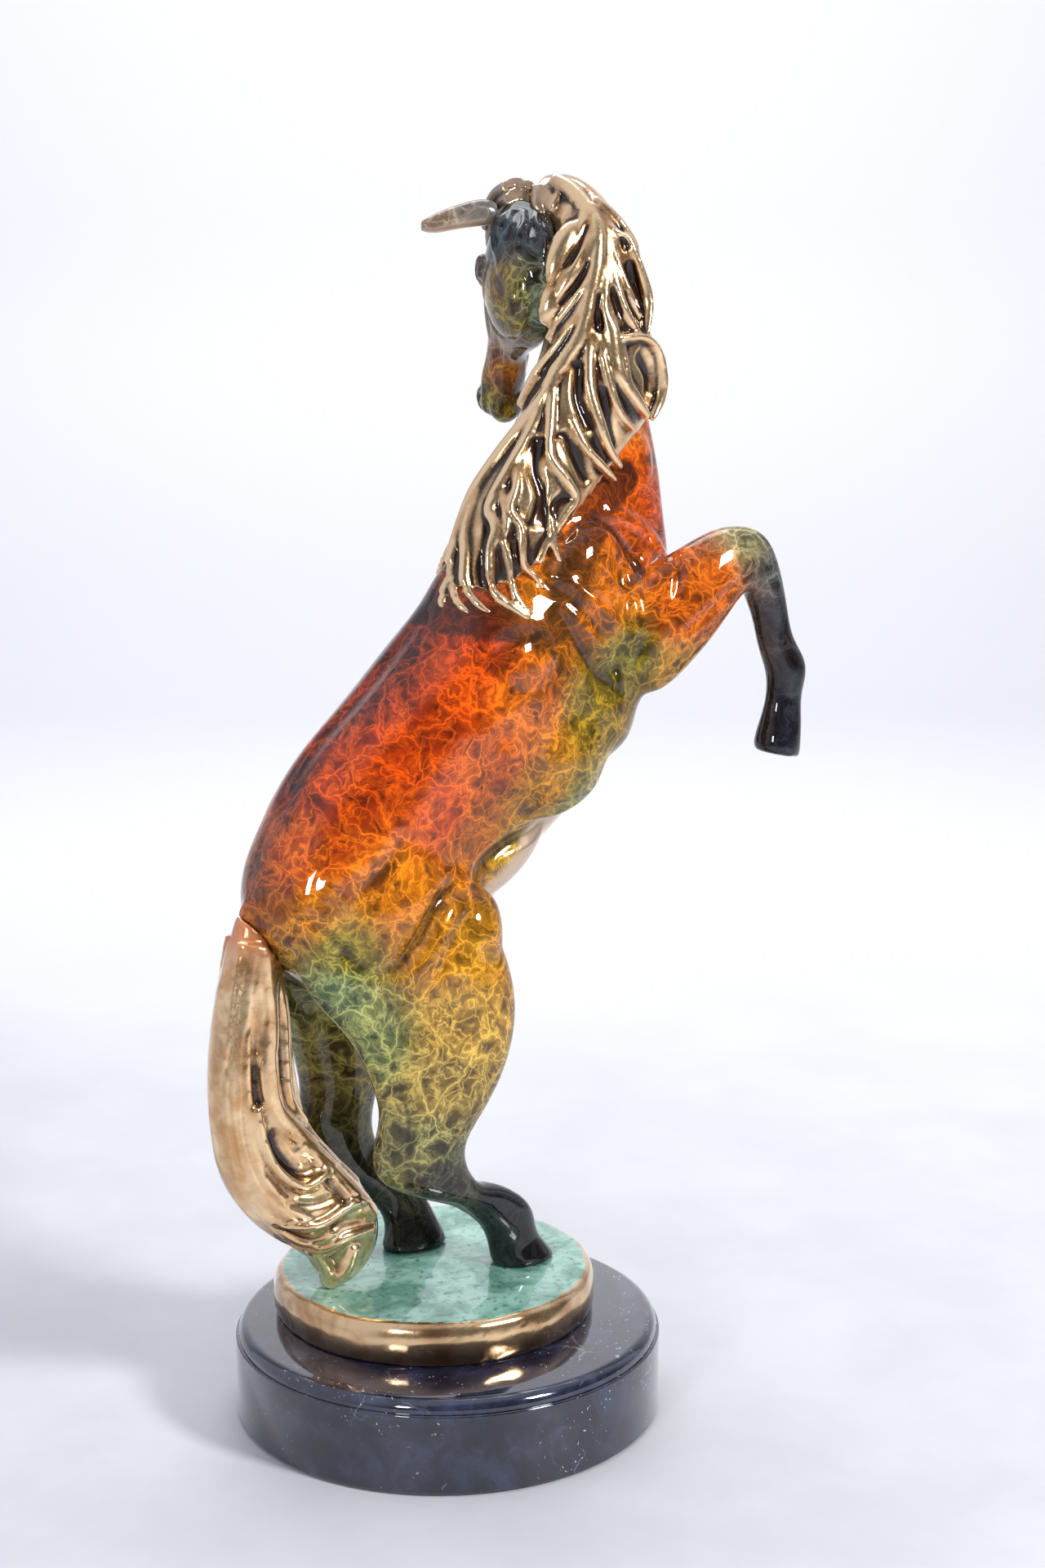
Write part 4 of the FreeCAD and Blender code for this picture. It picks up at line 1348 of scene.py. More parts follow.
@dataclass
class Mane:
    """The mane: a polished crest that parts into locks down both sides of the neck."""

    voxel: float = 0.71
    cling: float = 0.4
    crest: tuple[Point, ...] = (
        (66, 24, 510), (71, 16, 505), (74, 4, 493), (72, -1, 479), (68, -2, 463), (63, -2, 448), (56, 1, 436),
        (50, 3, 424), (44, 7, 414), (37, 11, 404), (31, 14, 395), (24, 15, 385), (16, 13, 371), (10, 11, 358))
    locks: tuple[Lock, ...] = (
        Lock(((54, 3, 430), (44, 3, 411), (33, 2, 396), (27, 2, 387), (23, 1, 379), (23, -4, 372),
              (20, -4, 365), (19, -5, 357), (19, -6, 349), (21, -10, 343), (28, -15, 334), (38, -18, 326),
              (47, -18, 318)), 3.0, 3.0),
        Lock(((54, 2, 430), (50, -2, 414), (47, -6, 401), (52, -9, 392), (57, -8, 384), (53, -8, 378),
              (48, -8, 372), (43, -9, 365), (41, -10, 357)), 2.6, 3.2),
        Lock(((38, 4, 402), (33, -3, 389), (29, -5, 380), (32, -8, 373), (32, -9, 365), (33, -9, 358),
              (39, -11, 351), (45, -14, 342)), 2.2, 2.4),
        Lock(((29, 2, 390), (27, -6, 375), (25, -6, 369), (27, -8, 359), (28, -9, 352), (30, -13, 342),
              (38, -17, 332), (48, -17, 323)), 2.2, 2.4),
        Lock(((25, 13, 386), (19, 11, 377), (15, 8, 369), (13, 4, 362), (11, 1, 352), (11, -2, 345),
              (13, -7, 338), (20, -13, 329)), 2.6, 2.4),
        Lock(((15, 13, 367), (11, 11, 359), (9, 10, 353), (4, 10, 344), (0, 9, 336),
              (2, 4, 330)), 2.8, 2.2),
        Lock(((9, 9, 354), (6, 4, 345), (6, -2, 337), (10, -8, 330)), 2.2, 2.0),
        Lock(((74, 0, 479), (75, -2, 470), (73, -3, 460), (76, -6, 450), (77, -7, 440), (79, -8, 432),
              (88, -7, 422), (96, -5, 414)), 3.8, 3.0),
        Lock(((76, 1, 482), (78, -3, 473), (80, -6, 463), (84, -7, 455), (90, -7, 448)), 2.4, 2.2),
        Lock(((79, -7, 447), (91, -6, 447), (100, -3, 441), (104, -2, 431), (104, -2, 421),
              (99, -4, 412)), 2.0, 3.4),
        Lock(((79, -7, 447), (81, -8, 438), (84, -8, 428), (92, -5, 419)), 1.8, 2.0),
        Lock(((79, 3, 490), (86, -1, 486), (92, -3, 475), (97, -4, 462), (94, -6, 448)), 2.0, 3.0),
        Lock(((79, 1, 485), (81, -4, 474), (86, -6, 463), (92, -5, 455)), 1.8, 2.0),
        Lock(((77, 10, 502), (83, 4, 495), (90, -1, 485), (93, -2, 474)), 2.0, 2.6),
        Lock(((68, -2, 458), (67, -3, 443), (65, -7, 428), (69, -10, 412), (74, -10, 402),
              (82, -9, 393)), 2.8, 2.6),
        Lock(((70, -5, 450), (73, -8, 432), (78, -9, 418), (88, -6, 409)), 2.4, 2.2),
        Lock(((57, -5, 416), (62, -9, 404), (70, -10, 396), (80, -9, 387)), 2.2, 2.2),
        Lock(((46, -3, 398), (44, -8, 384), (46, -10, 371), (50, -13, 358), (58, -14, 348)), 2.0, 2.0),
        Lock(((75, 8, 500), (69, 5, 489), (63, 3, 479), (57, 3, 471), (52, 6, 461)), 4.2, 3.0),
        Lock(((72, 1, 487), (68, 1, 478), (63, 2, 470), (57, 5, 462), (52, 8, 454)), 3.4, 2.8),
        Lock(((69, -1, 471), (64, 0, 463), (59, 4, 455), (53, 9, 447)), 3.4, 2.8),
        Lock(((66, -2, 458), (59, 2, 447), (54, 7, 439), (49, 12, 430), (44, 16, 420)), 3.2, 2.8),
        Lock(((62, -1, 447), (57, -1, 439), (51, 3, 427), (46, 7, 419), (40, 12, 410)), 3.0, 2.6),
        Lock(((76, 16, 505), (70, 15, 497), (66, 17, 492)), 2.4, 2.4),
        Lock(((70, 22, 509), (66, 21, 501), (63, 23, 495)), 2.6, 2.4),
        Lock(((62, 30, 508), (60, 27, 501), (60, 25, 494)), 2.4, 2.2),
        Lock(((46, 11, 414), (44, 18, 402), (40, 24, 390), (36, 27, 378)), 2.6, 2.2),
        Lock(((36, 14, 401), (34, 22, 388), (30, 28, 376), (28, 31, 362)), 2.6, 2.2),
        Lock(((26, 16, 388), (24, 24, 374), (22, 30, 362), (22, 33, 350)), 2.4, 2.2),
        Lock(((17, 14, 372), (15, 20, 362), (13, 27, 352), (14, 31, 342), (20, 34, 332)), 2.4, 2.0),
    )
    lobes: tuple[Mass, ...] = (
        Mass((62, 8, 480), (7.5, 5.5, 15.0), (0, 24, 0)),
        Mass((58, 9, 463), (6.5, 5.5, 12.0), (0, 24, 0)),
    )
    hollows: tuple[Stroke, ...] = (
        Stroke(((46, 0, 408), (41, -4, 396), (43, -8, 384), (37, -9, 372)), 4.6, -3.4, 0.9),
        Stroke(((54, -2, 410), (60, -8, 396), (66, -10, 388)), 4.2, -2.6, 0.9),
        Stroke(((52, -7, 386), (46, -8, 380), (41, -8, 372)), 3.0, -1.8, 0.9),
        Stroke(((88, -6, 441), (96, -5, 433), (98, -5, 422)), 5.0, -3.8, 0.9),
        Stroke(((86, -3, 478), (90, -5, 467), (92, -6, 457)), 3.8, -2.8, 0.9),
        Stroke(((83, 2, 490), (87, -2, 482)), 3.0, -1.8, 0.9),
        Stroke(((71, -3, 466), (71, -5, 452), (71, -7, 440)), 2.4, -1.8, 0.9),
        Stroke(((77, -3, 468), (80, -7, 455)), 2.2, -1.4, 0.9),
        Stroke(((63, -2, 438), (60, -6, 424), (64, -10, 410)), 3.4, -2.6, 0.9),
        Stroke(((70, -8, 428), (74, -9, 412), (80, -8, 402)), 2.8, -2.0, 0.9),
        Stroke(((26, 6, 384), (21, -2, 370), (18, -4, 356), (19, -9, 342)), 2.8, -2.0, 0.9),
        Stroke(((30, -7, 368), (30, -10, 356), (34, -15, 342)), 2.2, -1.6, 0.9),
        Stroke(((72, 5, 492), (66, 3, 482), (59, 3, 474)), 2.0, -1.8, 0.9),
        Stroke(((70, 0, 478), (64, 1, 469), (57, 5, 460)), 1.9, -1.6, 0.9),
        Stroke(((67, -1, 466), (60, 2, 456), (54, 8, 446)), 2.0, -1.7, 0.9),
        Stroke(((63, -2, 453), (56, 2, 442), (50, 8, 432)), 2.0, -1.6, 0.9),
        Stroke(((56, 0, 435), (49, 5, 422), (43, 10, 412)), 1.8, -1.4, 0.9),
        Stroke(((42, 15, 406), (37, 22, 394), (33, 27, 382)), 2.2, -1.5, 0.9),
        Stroke(((30, 19, 388), (26, 27, 374), (25, 31, 362)), 2.2, -1.5, 0.9),
    )

    def build(self, material: bpy.types.Material) -> list[Piece]:
        """Models the mane.

        Args:
            material: its finish.

        Returns:
            The piece.
        """
        base = Wax(cad_wax(("mane",)), 1.2)
        base.smooth(6, 0.6)
        bm = cad_wax(("mane",))
        Lock(self.crest, 3.6, 3.2, 0.7, 0.4, 0.4).lay(bm, base)
        for lobe in self.lobes:
            ball(bm, lobe.centre, lobe.radii, lobe.turn)
        for lock in self.locks:
            pairs = zip(lock.path, base.snapped(lock.path))
            drawn = tuple(tuple(Vector(p).lerp(Vector(q), self.cling)) for p, q in pairs)
            Lock(drawn, lock.width, lock.height, lock.root, lock.tip, lock.lift).lay(bm, base)
        skin = Wax(bm, self.voxel)
        log.info("mane skin: %d vertices", len(skin.co))
        skin.smooth(2, 0.5)
        for hollow in self.hollows:
            skin.stroke(skin.snapped(hollow.path), hollow.radius, hollow.height, hollow.sharp)
        skin.refresh()
        self.comb(skin)
        skin.smooth(4, 0.5)
        grey, brown = np.array(linear(70, 74, 88)), np.array(linear(56, 30, 14))
        y, z = skin.co[:, 1], skin.co[:, 2]
        behind = ramp(y, 14.0, 28.0) * ramp(z, 440.0, 470.0)
        stain = brown + (grey - brown) * behind[:, None]
        low = ramp(-z, -410.0, -345.0) * np.clip(skin.cavity(30) * 1.2 + 0.45, 0.0, 1.0)
        shade = 0.24 * ramp(-z, -384.0, -338.0) + 0.05
        store_hair(skin, stain, np.maximum(behind * 0.55, low * 0.5), 22, 1.0, shade)
        return [Piece(skin.mesh, "cast_mane", material, Slot.POLISHED, ("mane",))]

    def comb(self, skin: Wax) -> None:
        """Draws fine hair lines beside each lock."""
        for number, lock in enumerate(self.locks):
            for turn in ((-1, 1) if number % 3 == 0 else (1 - 2 * (number % 2),)):
                offset = turn * (lock.width * 0.5 + 0.5 * (number % 3))
                path = smooth_path(lock.path, 4.0)
                run = np.gradient(path, axis=0)
                outward = np.array([tuple(skin.tree.find_nearest(Vector(p))[1]) for p in path])
                side = np.cross(run, outward)
                side /= np.maximum(np.linalg.norm(side, axis=1), 1e-6)[:, None]
                moved = [tuple(p) for p in path + side * offset]
                skin.stroke(skin.snapped(moved), 1.2, -0.3, 1.0)
        skin.refresh()


@dataclass
class Forelock:
    """The forelock: short locks over the poll."""

    voxel: float = 0.5
    paths: tuple[tuple[Point, ...], ...] = (
        ((-6, 2, 4), (2, 4, 7), (12, 6, 7.5), (22, 7, 5), (30, 6, 3)),
        ((-6, -2, 4), (2, -3, 7), (12, -5, 7.5), (22, -6, 5), (31, -6, 3)),
        ((-6, 5, 2), (0, 8, 5), (8, 10, 5), (16, 11, 2)),
        ((-6, -5, 2), (0, -8, 5), (8, -10, 5), (16, -11, 2)),
        ((-6, 0, 5), (4, 0, 8), (16, 0, 8), (28, 1, 5.5), (38, 0, 2)),
    )

    def build(self, material: bpy.types.Material) -> list[Piece]:
        """Models the forelock.

        Args:
            material: its finish.

        Returns:
            The piece.
        """
        base = Wax(cad_wax(("forelock",)), 0.8)
        bm = cad_wax(("forelock",))
        for path in self.paths:
            turned = tuple(tuple(HEAD_TURN @ Vector(point)) for point in path)
            Lock(turned, 2.6, 2.0, 0.6, 0.15).lay(bm, base)
        skin = Wax(bm, self.voxel)
        skin.smooth(2, 0.5)
        stain = np.tile(np.array(linear(96, 98, 106)), (len(skin.co), 1))
        share = ramp(skin.co[:, 1], 26.0, 38.0) * 0.7
        store_hair(skin, stain, share, 8)
        return [Piece(skin.mesh, "cast_forelock", material, Slot.POLISHED, ("forelock",))]


@dataclass
class Tail:
    """The tail: broad polished sheets of hair that flow from the dock and sweep round to a curled tip."""

    voxel: float = 0.85
    locks: tuple[Lock, ...] = (
        Lock(((-83, 6, 212), (-88, 6, 189), (-92, 5, 167), (-93, 4, 144), (-90, 2, 120), (-80, 0, 103),
              (-65, 0, 89), (-50, 2, 79)), 7.0, 2.6),
        Lock(((-79, 5, 208), (-78, 4, 183), (-80, 2, 162), (-78, 1, 144), (-69, 2, 133),
              (-59, 4, 124)), 5.2, 3.0),
        Lock(((-73, 8, 204), (-70, 7, 181), (-71, 5, 161), (-70, 4, 146), (-61, 7, 133)), 2.6, 2.4),
        Lock(((-86, 1, 146), (-84, -1, 132), (-78, -2, 119), (-68, -3, 110), (-58, -1, 112),
              (-50, 3, 116)), 2.6, 3.0),
        Lock(((-66, 1, 128), (-59, 3, 122), (-50, 3, 111), (-40, 2, 98), (-31, 5, 88)), 5.0, 2.4),
        Lock(((-84, 0, 100), (-76, -1, 94), (-61, -3, 92), (-45, -1, 97), (-34, 4, 95)), 2.6, 2.8),
        Lock(((-88, 3, 107), (-76, 2, 91), (-60, 1, 80), (-48, -1, 83), (-33, 3, 83)), 2.8, 2.6),
        Lock(((-62, 3, 80), (-56, 5, 70), (-51, 7, 63), (-46, 4, 67), (-43, 1, 78)), 3.4, 3.0),
        Lock(((-87, 12, 210), (-95, 12, 188), (-99, 12, 164), (-99, 11, 142), (-95, 10, 118), (-84, 9, 98),
              (-66, 9, 83), (-54, 9, 70)), 5.0, 1.6),
        Lock(((-68, 14, 200), (-66, 14, 176), (-65, 13, 152), (-60, 12, 132), (-48, 12, 116),
              (-36, 12, 102)), 4.0, 1.6),
    )
    hollows: tuple[Stroke, ...] = (
        Stroke(((-84, 4, 192), (-86, 2, 172), (-86, 1, 154), (-83, 0, 138)), 2.8, -1.0),
        Stroke(((-81, -1, 136), (-77, -1, 124), (-69, -1, 116), (-61, 1, 116)), 4.4, -2.2),
        Stroke(((-60, -1, 115), (-52, 0, 104), (-46, 0, 96)), 2.6, -1.1),
        Stroke(((-76, -2, 104), (-62, -3, 101), (-50, -1, 103)), 3.0, -1.4),
        Stroke(((-80, 0, 96), (-66, -1, 86), (-50, -1, 90), (-38, 2, 89)), 2.2, -1.1),
        Stroke(((-74, 6, 196), (-74, 4, 176), (-74, 3, 158), (-73, 3, 146)), 2.0, -1.1),
        Stroke(((-90, 8, 176), (-96, 8, 152), (-94, 6, 126), (-84, 4, 104)), 1.6, -0.5),
        Stroke(((-90, 3, 158), (-91, 2, 136), (-85, 0, 114), (-74, -1, 100)), 1.5, -0.4),
        Stroke(((-62, 2, 76), (-58, 6, 68)), 1.8, -0.7),
    )

    def build(self, material: bpy.types.Material) -> list[Piece]:
        """Models the tail.

        Args:
            material: its finish.

        Returns:
            The piece.
        """
        base = Wax(cad_wax(("tail",)), 1.2)
        base.smooth(5, 0.6)
        bm = cad_wax(("tail",))
        for lock in self.locks:
            for path in both_sides(lock.path):
                snapped = [tuple(Vector(p).lerp(Vector(q), 0.6)) for p, q in zip(path, base.snapped(path))]
                Lock(tuple(snapped), lock.width, lock.height, 0.6, 0.4).lay(bm, base, 2.0)
        ball(bm, (-50, 9, 64), (5.5, 5.5, 6.5), (0, 20, 0))
        ball(bm, (-43, 6, 70), (4.5, 4.5, 7.0), (0, 30, 0))
        skin = Wax(bm, self.voxel)
        log.info("tail skin: %d vertices", len(skin.co))
        skin.smooth(4, 0.5)
        for hollow in self.hollows:
            for copy in both_sides(hollow.path):
                skin.stroke(skin.snapped(copy), hollow.radius, hollow.height, hollow.sharp)
        skin.refresh()
        self.comb(skin)
        skin.smooth(2, 0.5)
        z = skin.co[:, 2]
        stain = np.tile(np.array(linear(196, 96, 22)), (len(skin.co), 1))
        store_hair(skin, stain, ramp(z, 196.0, 216.0) * 0.75, 12, 0.6)
        return [Piece(skin.mesh, "cast_tail", material, Slot.POLISHED, ("tail",))]

    def comb(self, skin: Wax) -> None:
        """Draws a few long hair lines beside the broad sheets."""
        for lock in self.locks[:2] + self.locks[4:7]:
            for path in both_sides(lock.path):
                samples = smooth_path(path, 5.0)
                run = np.gradient(samples, axis=0)
                outward = np.array([tuple(skin.tree.find_nearest(Vector(p))[1]) for p in samples])
                side = np.cross(run, outward)
                side /= np.maximum(np.linalg.norm(side, axis=1), 1e-6)[:, None]
                for offset in (-2.6, 2.2):
                    moved = [tuple(p) for p in samples + side * offset]
                    skin.stroke(skin.snapped(moved), 1.3, -0.5, 1.0)
        skin.refresh()


# ---------------------------------------------------------------- the base


@dataclass
class Ground:
    """The cast ground: an uneven mint-green top with a polished rim."""

    voxel: float = 1.25
    radius: float = 67.5
    middle: tuple[float, float] = (0.0, 12.0)

    def build(self, material: bpy.types.Material) -> list[Piece]:
        """Models the ground plate.

        Args:
            material: its finish.

        Returns:
            The piece.
        """
        skin = Wax(cad_wax(("ground_plate",)), self.voxel)
        skin.smooth(3, 0.5)
        x, y, z = skin.co[:, 0] - self.middle[0], skin.co[:, 1] - self.middle[1], skin.co[:, 2]
        out = np.hypot(x, y)
        shown = np.maximum(ramp(z, 52.0, 56.0), ramp(out, self.radius - 3.0, self.radius - 1.5))
        shown = shown * ramp(z, 40.4, 43.0)
        push = np.array([self.relief(Vector(place)) for place in skin.co])
        edge = ramp(out, self.radius - 8.0, self.radius - 3.0)
        skin.co += skin.normal * (push * shown * (0.55 + 0.45 * edge))[:, None]
        skin.refresh()
        skin.store("hollow", skin.cavity(8))
        top = ramp(skin.normal[:, 2], 0.55, 0.92) * ramp(-out, -self.radius + 1.5, -self.radius + 4.5)
        skin.store("top", top * ramp(z, 54.0, 56.5))
        skin.store("low", ramp(-z, -51.0, -43.0))
        shade_smooth(skin.mesh)
        return [Piece(skin.mesh, "cast_ground", material, Slot.GROUND, ("ground_plate",))]

    def relief(self, place: Vector) -> float:
        """Returns how far the ground rises at a place, in millimetres."""
        swell = noise.noise(place * 0.045) * 1.2
        lumps = noise.noise(place * 0.11 + Vector((7, 3, 1))) * 0.3
        pits = -max(0.0, noise.noise(place * 0.3 + Vector((2, 9, 4))) - 0.5) * 1.6
        return swell + lumps + pits


@dataclass(frozen=True)
class GroundFinish:
    """Mint-green patina clouded with darker green on top; polished gold with brown on the rim."""

    name: str = "ground_bronze"
    lacquer: Lacquer = field(default_factory=Lacquer)

    def make(self, wear: bpy.types.NodeTree) -> bpy.types.Material:
        """Builds the material.

        Args:
            wear: the shared group of ridges and hollows.

        Returns:
            The material.
        """
        material, chain, shader = new_material(self.name)
        place = chain.put("TexCoord").outputs["Object"]
        clouds = chain.put("TexNoise", Vector=place, Scale=48.0, Detail=6.0, Roughness=0.6, Distortion=0.6)
        flecks = chain.put("TexNoise", Vector=place, Scale=260.0, Detail=5.0, Roughness=0.7)
        cloud, fleck = clouds.outputs["Fac"], flecks.outputs["Fac"]
        mint = chain.mix(chain.span(cloud, 0.36, 0.62), linear(150, 196, 180), linear(84, 140, 122))
        blotched = chain.mix(chain.span(fleck, 0.52, 0.66, 0.0, 0.75), mint, linear(36, 84, 60))
        pale = chain.mix(chain.span(cloud, 0.6, 0.72, 0.0, 0.5), blotched, linear(186, 222, 200))
        mask = chain.put("Group", {"node_tree": wear}, Depth=0.5, Ragged=0.8)
        gold = chain.mix(chain.span(cloud, 0.4, 0.62), linear(226, 190, 142), linear(180, 136, 88))
        ringed = chain.mix(chain.math("MULTIPLY", chain.attribute("low"), 0.75), gold, linear(92, 56, 34))
        rim = chain.mix(mask.outputs["Hollow"], ringed, linear(60, 36, 22))
        ragged = chain.math("ADD", chain.attribute("top"), chain.span(fleck, 0.3, 0.7, -0.3, 0.3))
        share = chain.span(ragged, 0.35, 0.65)
        chain.tree.links.new(chain.mix(share, rim, pale), shader.inputs["Base Color"])
        chain.tree.links.new(chain.span(share, 0.0, 1.0, 0.95, 0.1), shader.inputs["Metallic"])
        chain.tree.links.new(chain.span(share, 0.0, 1.0, 0.18, 0.42), shader.inputs["Roughness"])
        bump = chain.put("Bump", Strength=0.3, Distance=0.3 * MM, Height=fleck)
        chain.tree.links.new(bump.outputs[0], shader.inputs["Normal"])
        self.lacquer.brush_on(shader)
        return material


@dataclass
class Marble:
    """The turned marble disc with its step, rounded nose and two recesses."""

    radius: float = 90.0
    low: float = 1.2
    step_z: float = 34.4
    step_in: float = 1.3
    nose_low: float = 35.1
    nose_in: float = 4.6
    top: float = 40.0
    arris: float = 0.8
    stud_x: float = 32.0
    stud_y: float = 12.0
    recess_radius: float = 12.0
    recess_top: float = 14.0
    hole_radius: float = 3.5

    def build(self, material: bpy.types.Material) -> list[Piece]:
        """Turns the disc.

        Args:
            material: its finish.

        Returns:
            The piece.
        """
        nose = self.radius - self.step_in
        inner = nose - self.nose_in
        profile = [(0.0, self.low), (self.radius - self.arris, self.low)]
        drum = self.radius - self.arris
        profile += self.corner(drum, self.low + self.arris, self.arris, self.arris, -90.0)
        profile += self.corner(drum, self.step_z - self.arris, self.arris, self.arris, 0.0)
        profile += [(nose, self.step_z), (nose, self.nose_low)]
        profile += self.corner(inner, self.nose_low, self.nose_in, self.top - self.nose_low, 0.0)
        profile += [(0.0, self.top)]
        bm = bmesh.new()
        verts = [bm.verts.new((r * MM, 0.0, z * MM)) for r, z in profile]
        edges = [bm.edges.new(pair) for pair in zip(verts, verts[1:])]
        bmesh.ops.spin(bm, geom=[*verts, *edges], cent=(0, 0, 0), axis=(0, 0, 1), angle=math.tau, steps=160,
                       use_merge=True, use_duplicate=False)
        bmesh.ops.remove_doubles(bm, verts=bm.verts, dist=0.001 * MM)
        disc = object_from_bmesh(bm, "marble_blank")
        for x in (-self.stud_x, self.stud_x):
            self.drill(disc, x)
        graph = bpy.context.evaluated_depsgraph_get()
        mesh = bpy.data.meshes.new_from_object(disc.evaluated_get(graph))
        for thing in [modifier.object for modifier in disc.modifiers] + [disc]:
            bpy.data.objects.remove(thing)
        shade_smooth(mesh)
        mesh.set_sharp_from_angle(angle=math.radians(32.0))
        return [Piece(mesh, "turned_marble", material, Slot.MARBLE, ("marble_base",))]

    def corner(self, r: float, z: float, wide: float, high: float, start: float) -> list[tuple[float, float]]:
        """Returns the points of a quarter round about (r, z) from an angle in degrees."""
        angles = [math.radians(start + 15.0 * k) for k in range(7)]
        return [(r + wide * math.cos(a), z + high * math.sin(a)) for a in angles]

    def drill(self, disc: bpy.types.Object, x: float) -> None:
        """Sinks one stud's recess and hole into the disc."""
        for radius, low, high in ((self.recess_radius, 0.0, self.recess_top), (self.hole_radius, 5.0, 45.0)):
            bm = bmesh.new()
            middle = Matrix.Translation(Vector((x, self.stud_y, (low + high) / 2)) * MM)
            bmesh.ops.create_cone(bm, cap_ends=True, segments=48, radius1=radius * MM, radius2=radius * MM,
                                  depth=(high - low) * MM, matrix=middle)
            drill = object_from_bmesh(bm, "drill")
            cut = disc.modifiers.new("drill", "BOOLEAN")
            cut.operation = "DIFFERENCE"
            cut.solver = "EXACT"
            cut.object = drill


@dataclass(frozen=True)
class MarbleFinish:
    """Polished black marble with white veins and flecks."""

    name: str = "black_marble"

    def make(self) -> bpy.types.Material:
        """Builds the material."""
        material, chain, shader = new_material(self.name)
        place = chain.put("TexCoord").outputs["Object"]
        wander = chain.put("TexNoise", Vector=place, Scale=26.0, Detail=5.0, Roughness=0.6).outputs["Color"]
        bent = chain.put("VectorMath", {"operation": "SCALE"}, i0=wander, Scale=0.035).outputs[0]
        warped = chain.put("VectorMath", {"operation": "ADD"}, i0=place, i1=bent).outputs[0]
        cells = chain.put("TexVoronoi", {"feature": "DISTANCE_TO_EDGE"}, Vector=warped, Scale=34.0)
        patches = chain.put("TexNoise", Vector=place, Scale=20.0, Detail=3.0, Roughness=0.55).outputs["Fac"]
        vein = chain.math("MULTIPLY", chain.span(cells.outputs["Distance"], 0.018, 0.0),
                          chain.span(patches, 0.55, 0.75, 0.0, 0.5))
        speck = chain.put("TexVoronoi", {"feature": "F1"}, Vector=warped, Scale=300.0).outputs["Distance"]
        where = chain.span(patches, 0.44, 0.6, 0.0, 0.9)
        fleck = chain.math("MULTIPLY", chain.span(speck, 0.16, 0.05), where)
        white = chain.math("MAXIMUM", vein, fleck)
        cloud = chain.put("TexNoise", Vector=warped, Scale=60.0, Detail=6.0, Roughness=0.65).outputs["Fac"]
        black = chain.mix(chain.span(cloud, 0.4, 0.75), linear(16, 19, 36), linear(50, 55, 80))
        chain.tree.links.new(chain.mix(white, black, linear(196, 200, 206)), shader.inputs["Base Color"])
        chain.tree.links.new(chain.span(cloud, 0.3, 0.7, 0.05, 0.12), shader.inputs["Roughness"])
        shader.inputs["Coat Weight"].default_value = 1.0
        shader.inputs["Coat Roughness"].default_value = 0.02
        return material


@dataclass(frozen=True)
class PlainFinish:
    """A plain material with a grain: felt or zinc-plated steel."""

    name: str
    tone: tuple[float, float, float]
    other: tuple[float, float, float]
    scale: float
    metallic: float
    roughness: float
    fuzz: float = 0.0

    def make(self) -> bpy.types.Material:
        """Builds the material."""
        material, chain, shader = new_material(self.name)
        place = chain.put("TexCoord").outputs["Object"]
        noisy = chain.put("TexNoise", Vector=place, Scale=self.scale, Detail=6.0, Roughness=0.7)
        grain = noisy.outputs["Fac"]
        tone = chain.mix(chain.span(grain, 0.35, 0.65), linear(*self.tone), linear(*self.other))
        chain.tree.links.new(tone, shader.inputs["Base Color"])
        chain.tree.links.new(chain.span(grain, 0.3, 0.7, self.roughness - 0.08, self.roughness + 0.08),
                             shader.inputs["Roughness"])
        shader.inputs["Metallic"].default_value = self.metallic
        shader.inputs["Sheen Weight"].default_value = self.fuzz
        bump = chain.put("Bump", Strength=0.4, Distance=0.15 * MM, Height=grain)
        chain.tree.links.new(bump.outputs[0], shader.inputs["Normal"])
        return material


# ---------------------------------------------------------------- the studio


class Softbox(NamedTuple):
    """A rectangular light: its name, place and aim in metres, width and height, and power in watts."""

    name: str
    place: Point
    aim: Point
    size: tuple[float, float]
    power: float

    def hang(self) -> None:
        """Hangs the light."""
        data = bpy.data.lights.new(self.name, "AREA")
        data.shape = "RECTANGLE"
        data.size, data.size_y = self.size
        data.energy = self.power
        light = bpy.data.objects.new(self.name, data)
        bpy.context.scene.collection.objects.link(light)
        light.location = self.place
        aim = Vector(self.aim) - Vector(self.place)
        light.rotation_euler = aim.to_track_quat("-Z", "Y").to_euler()


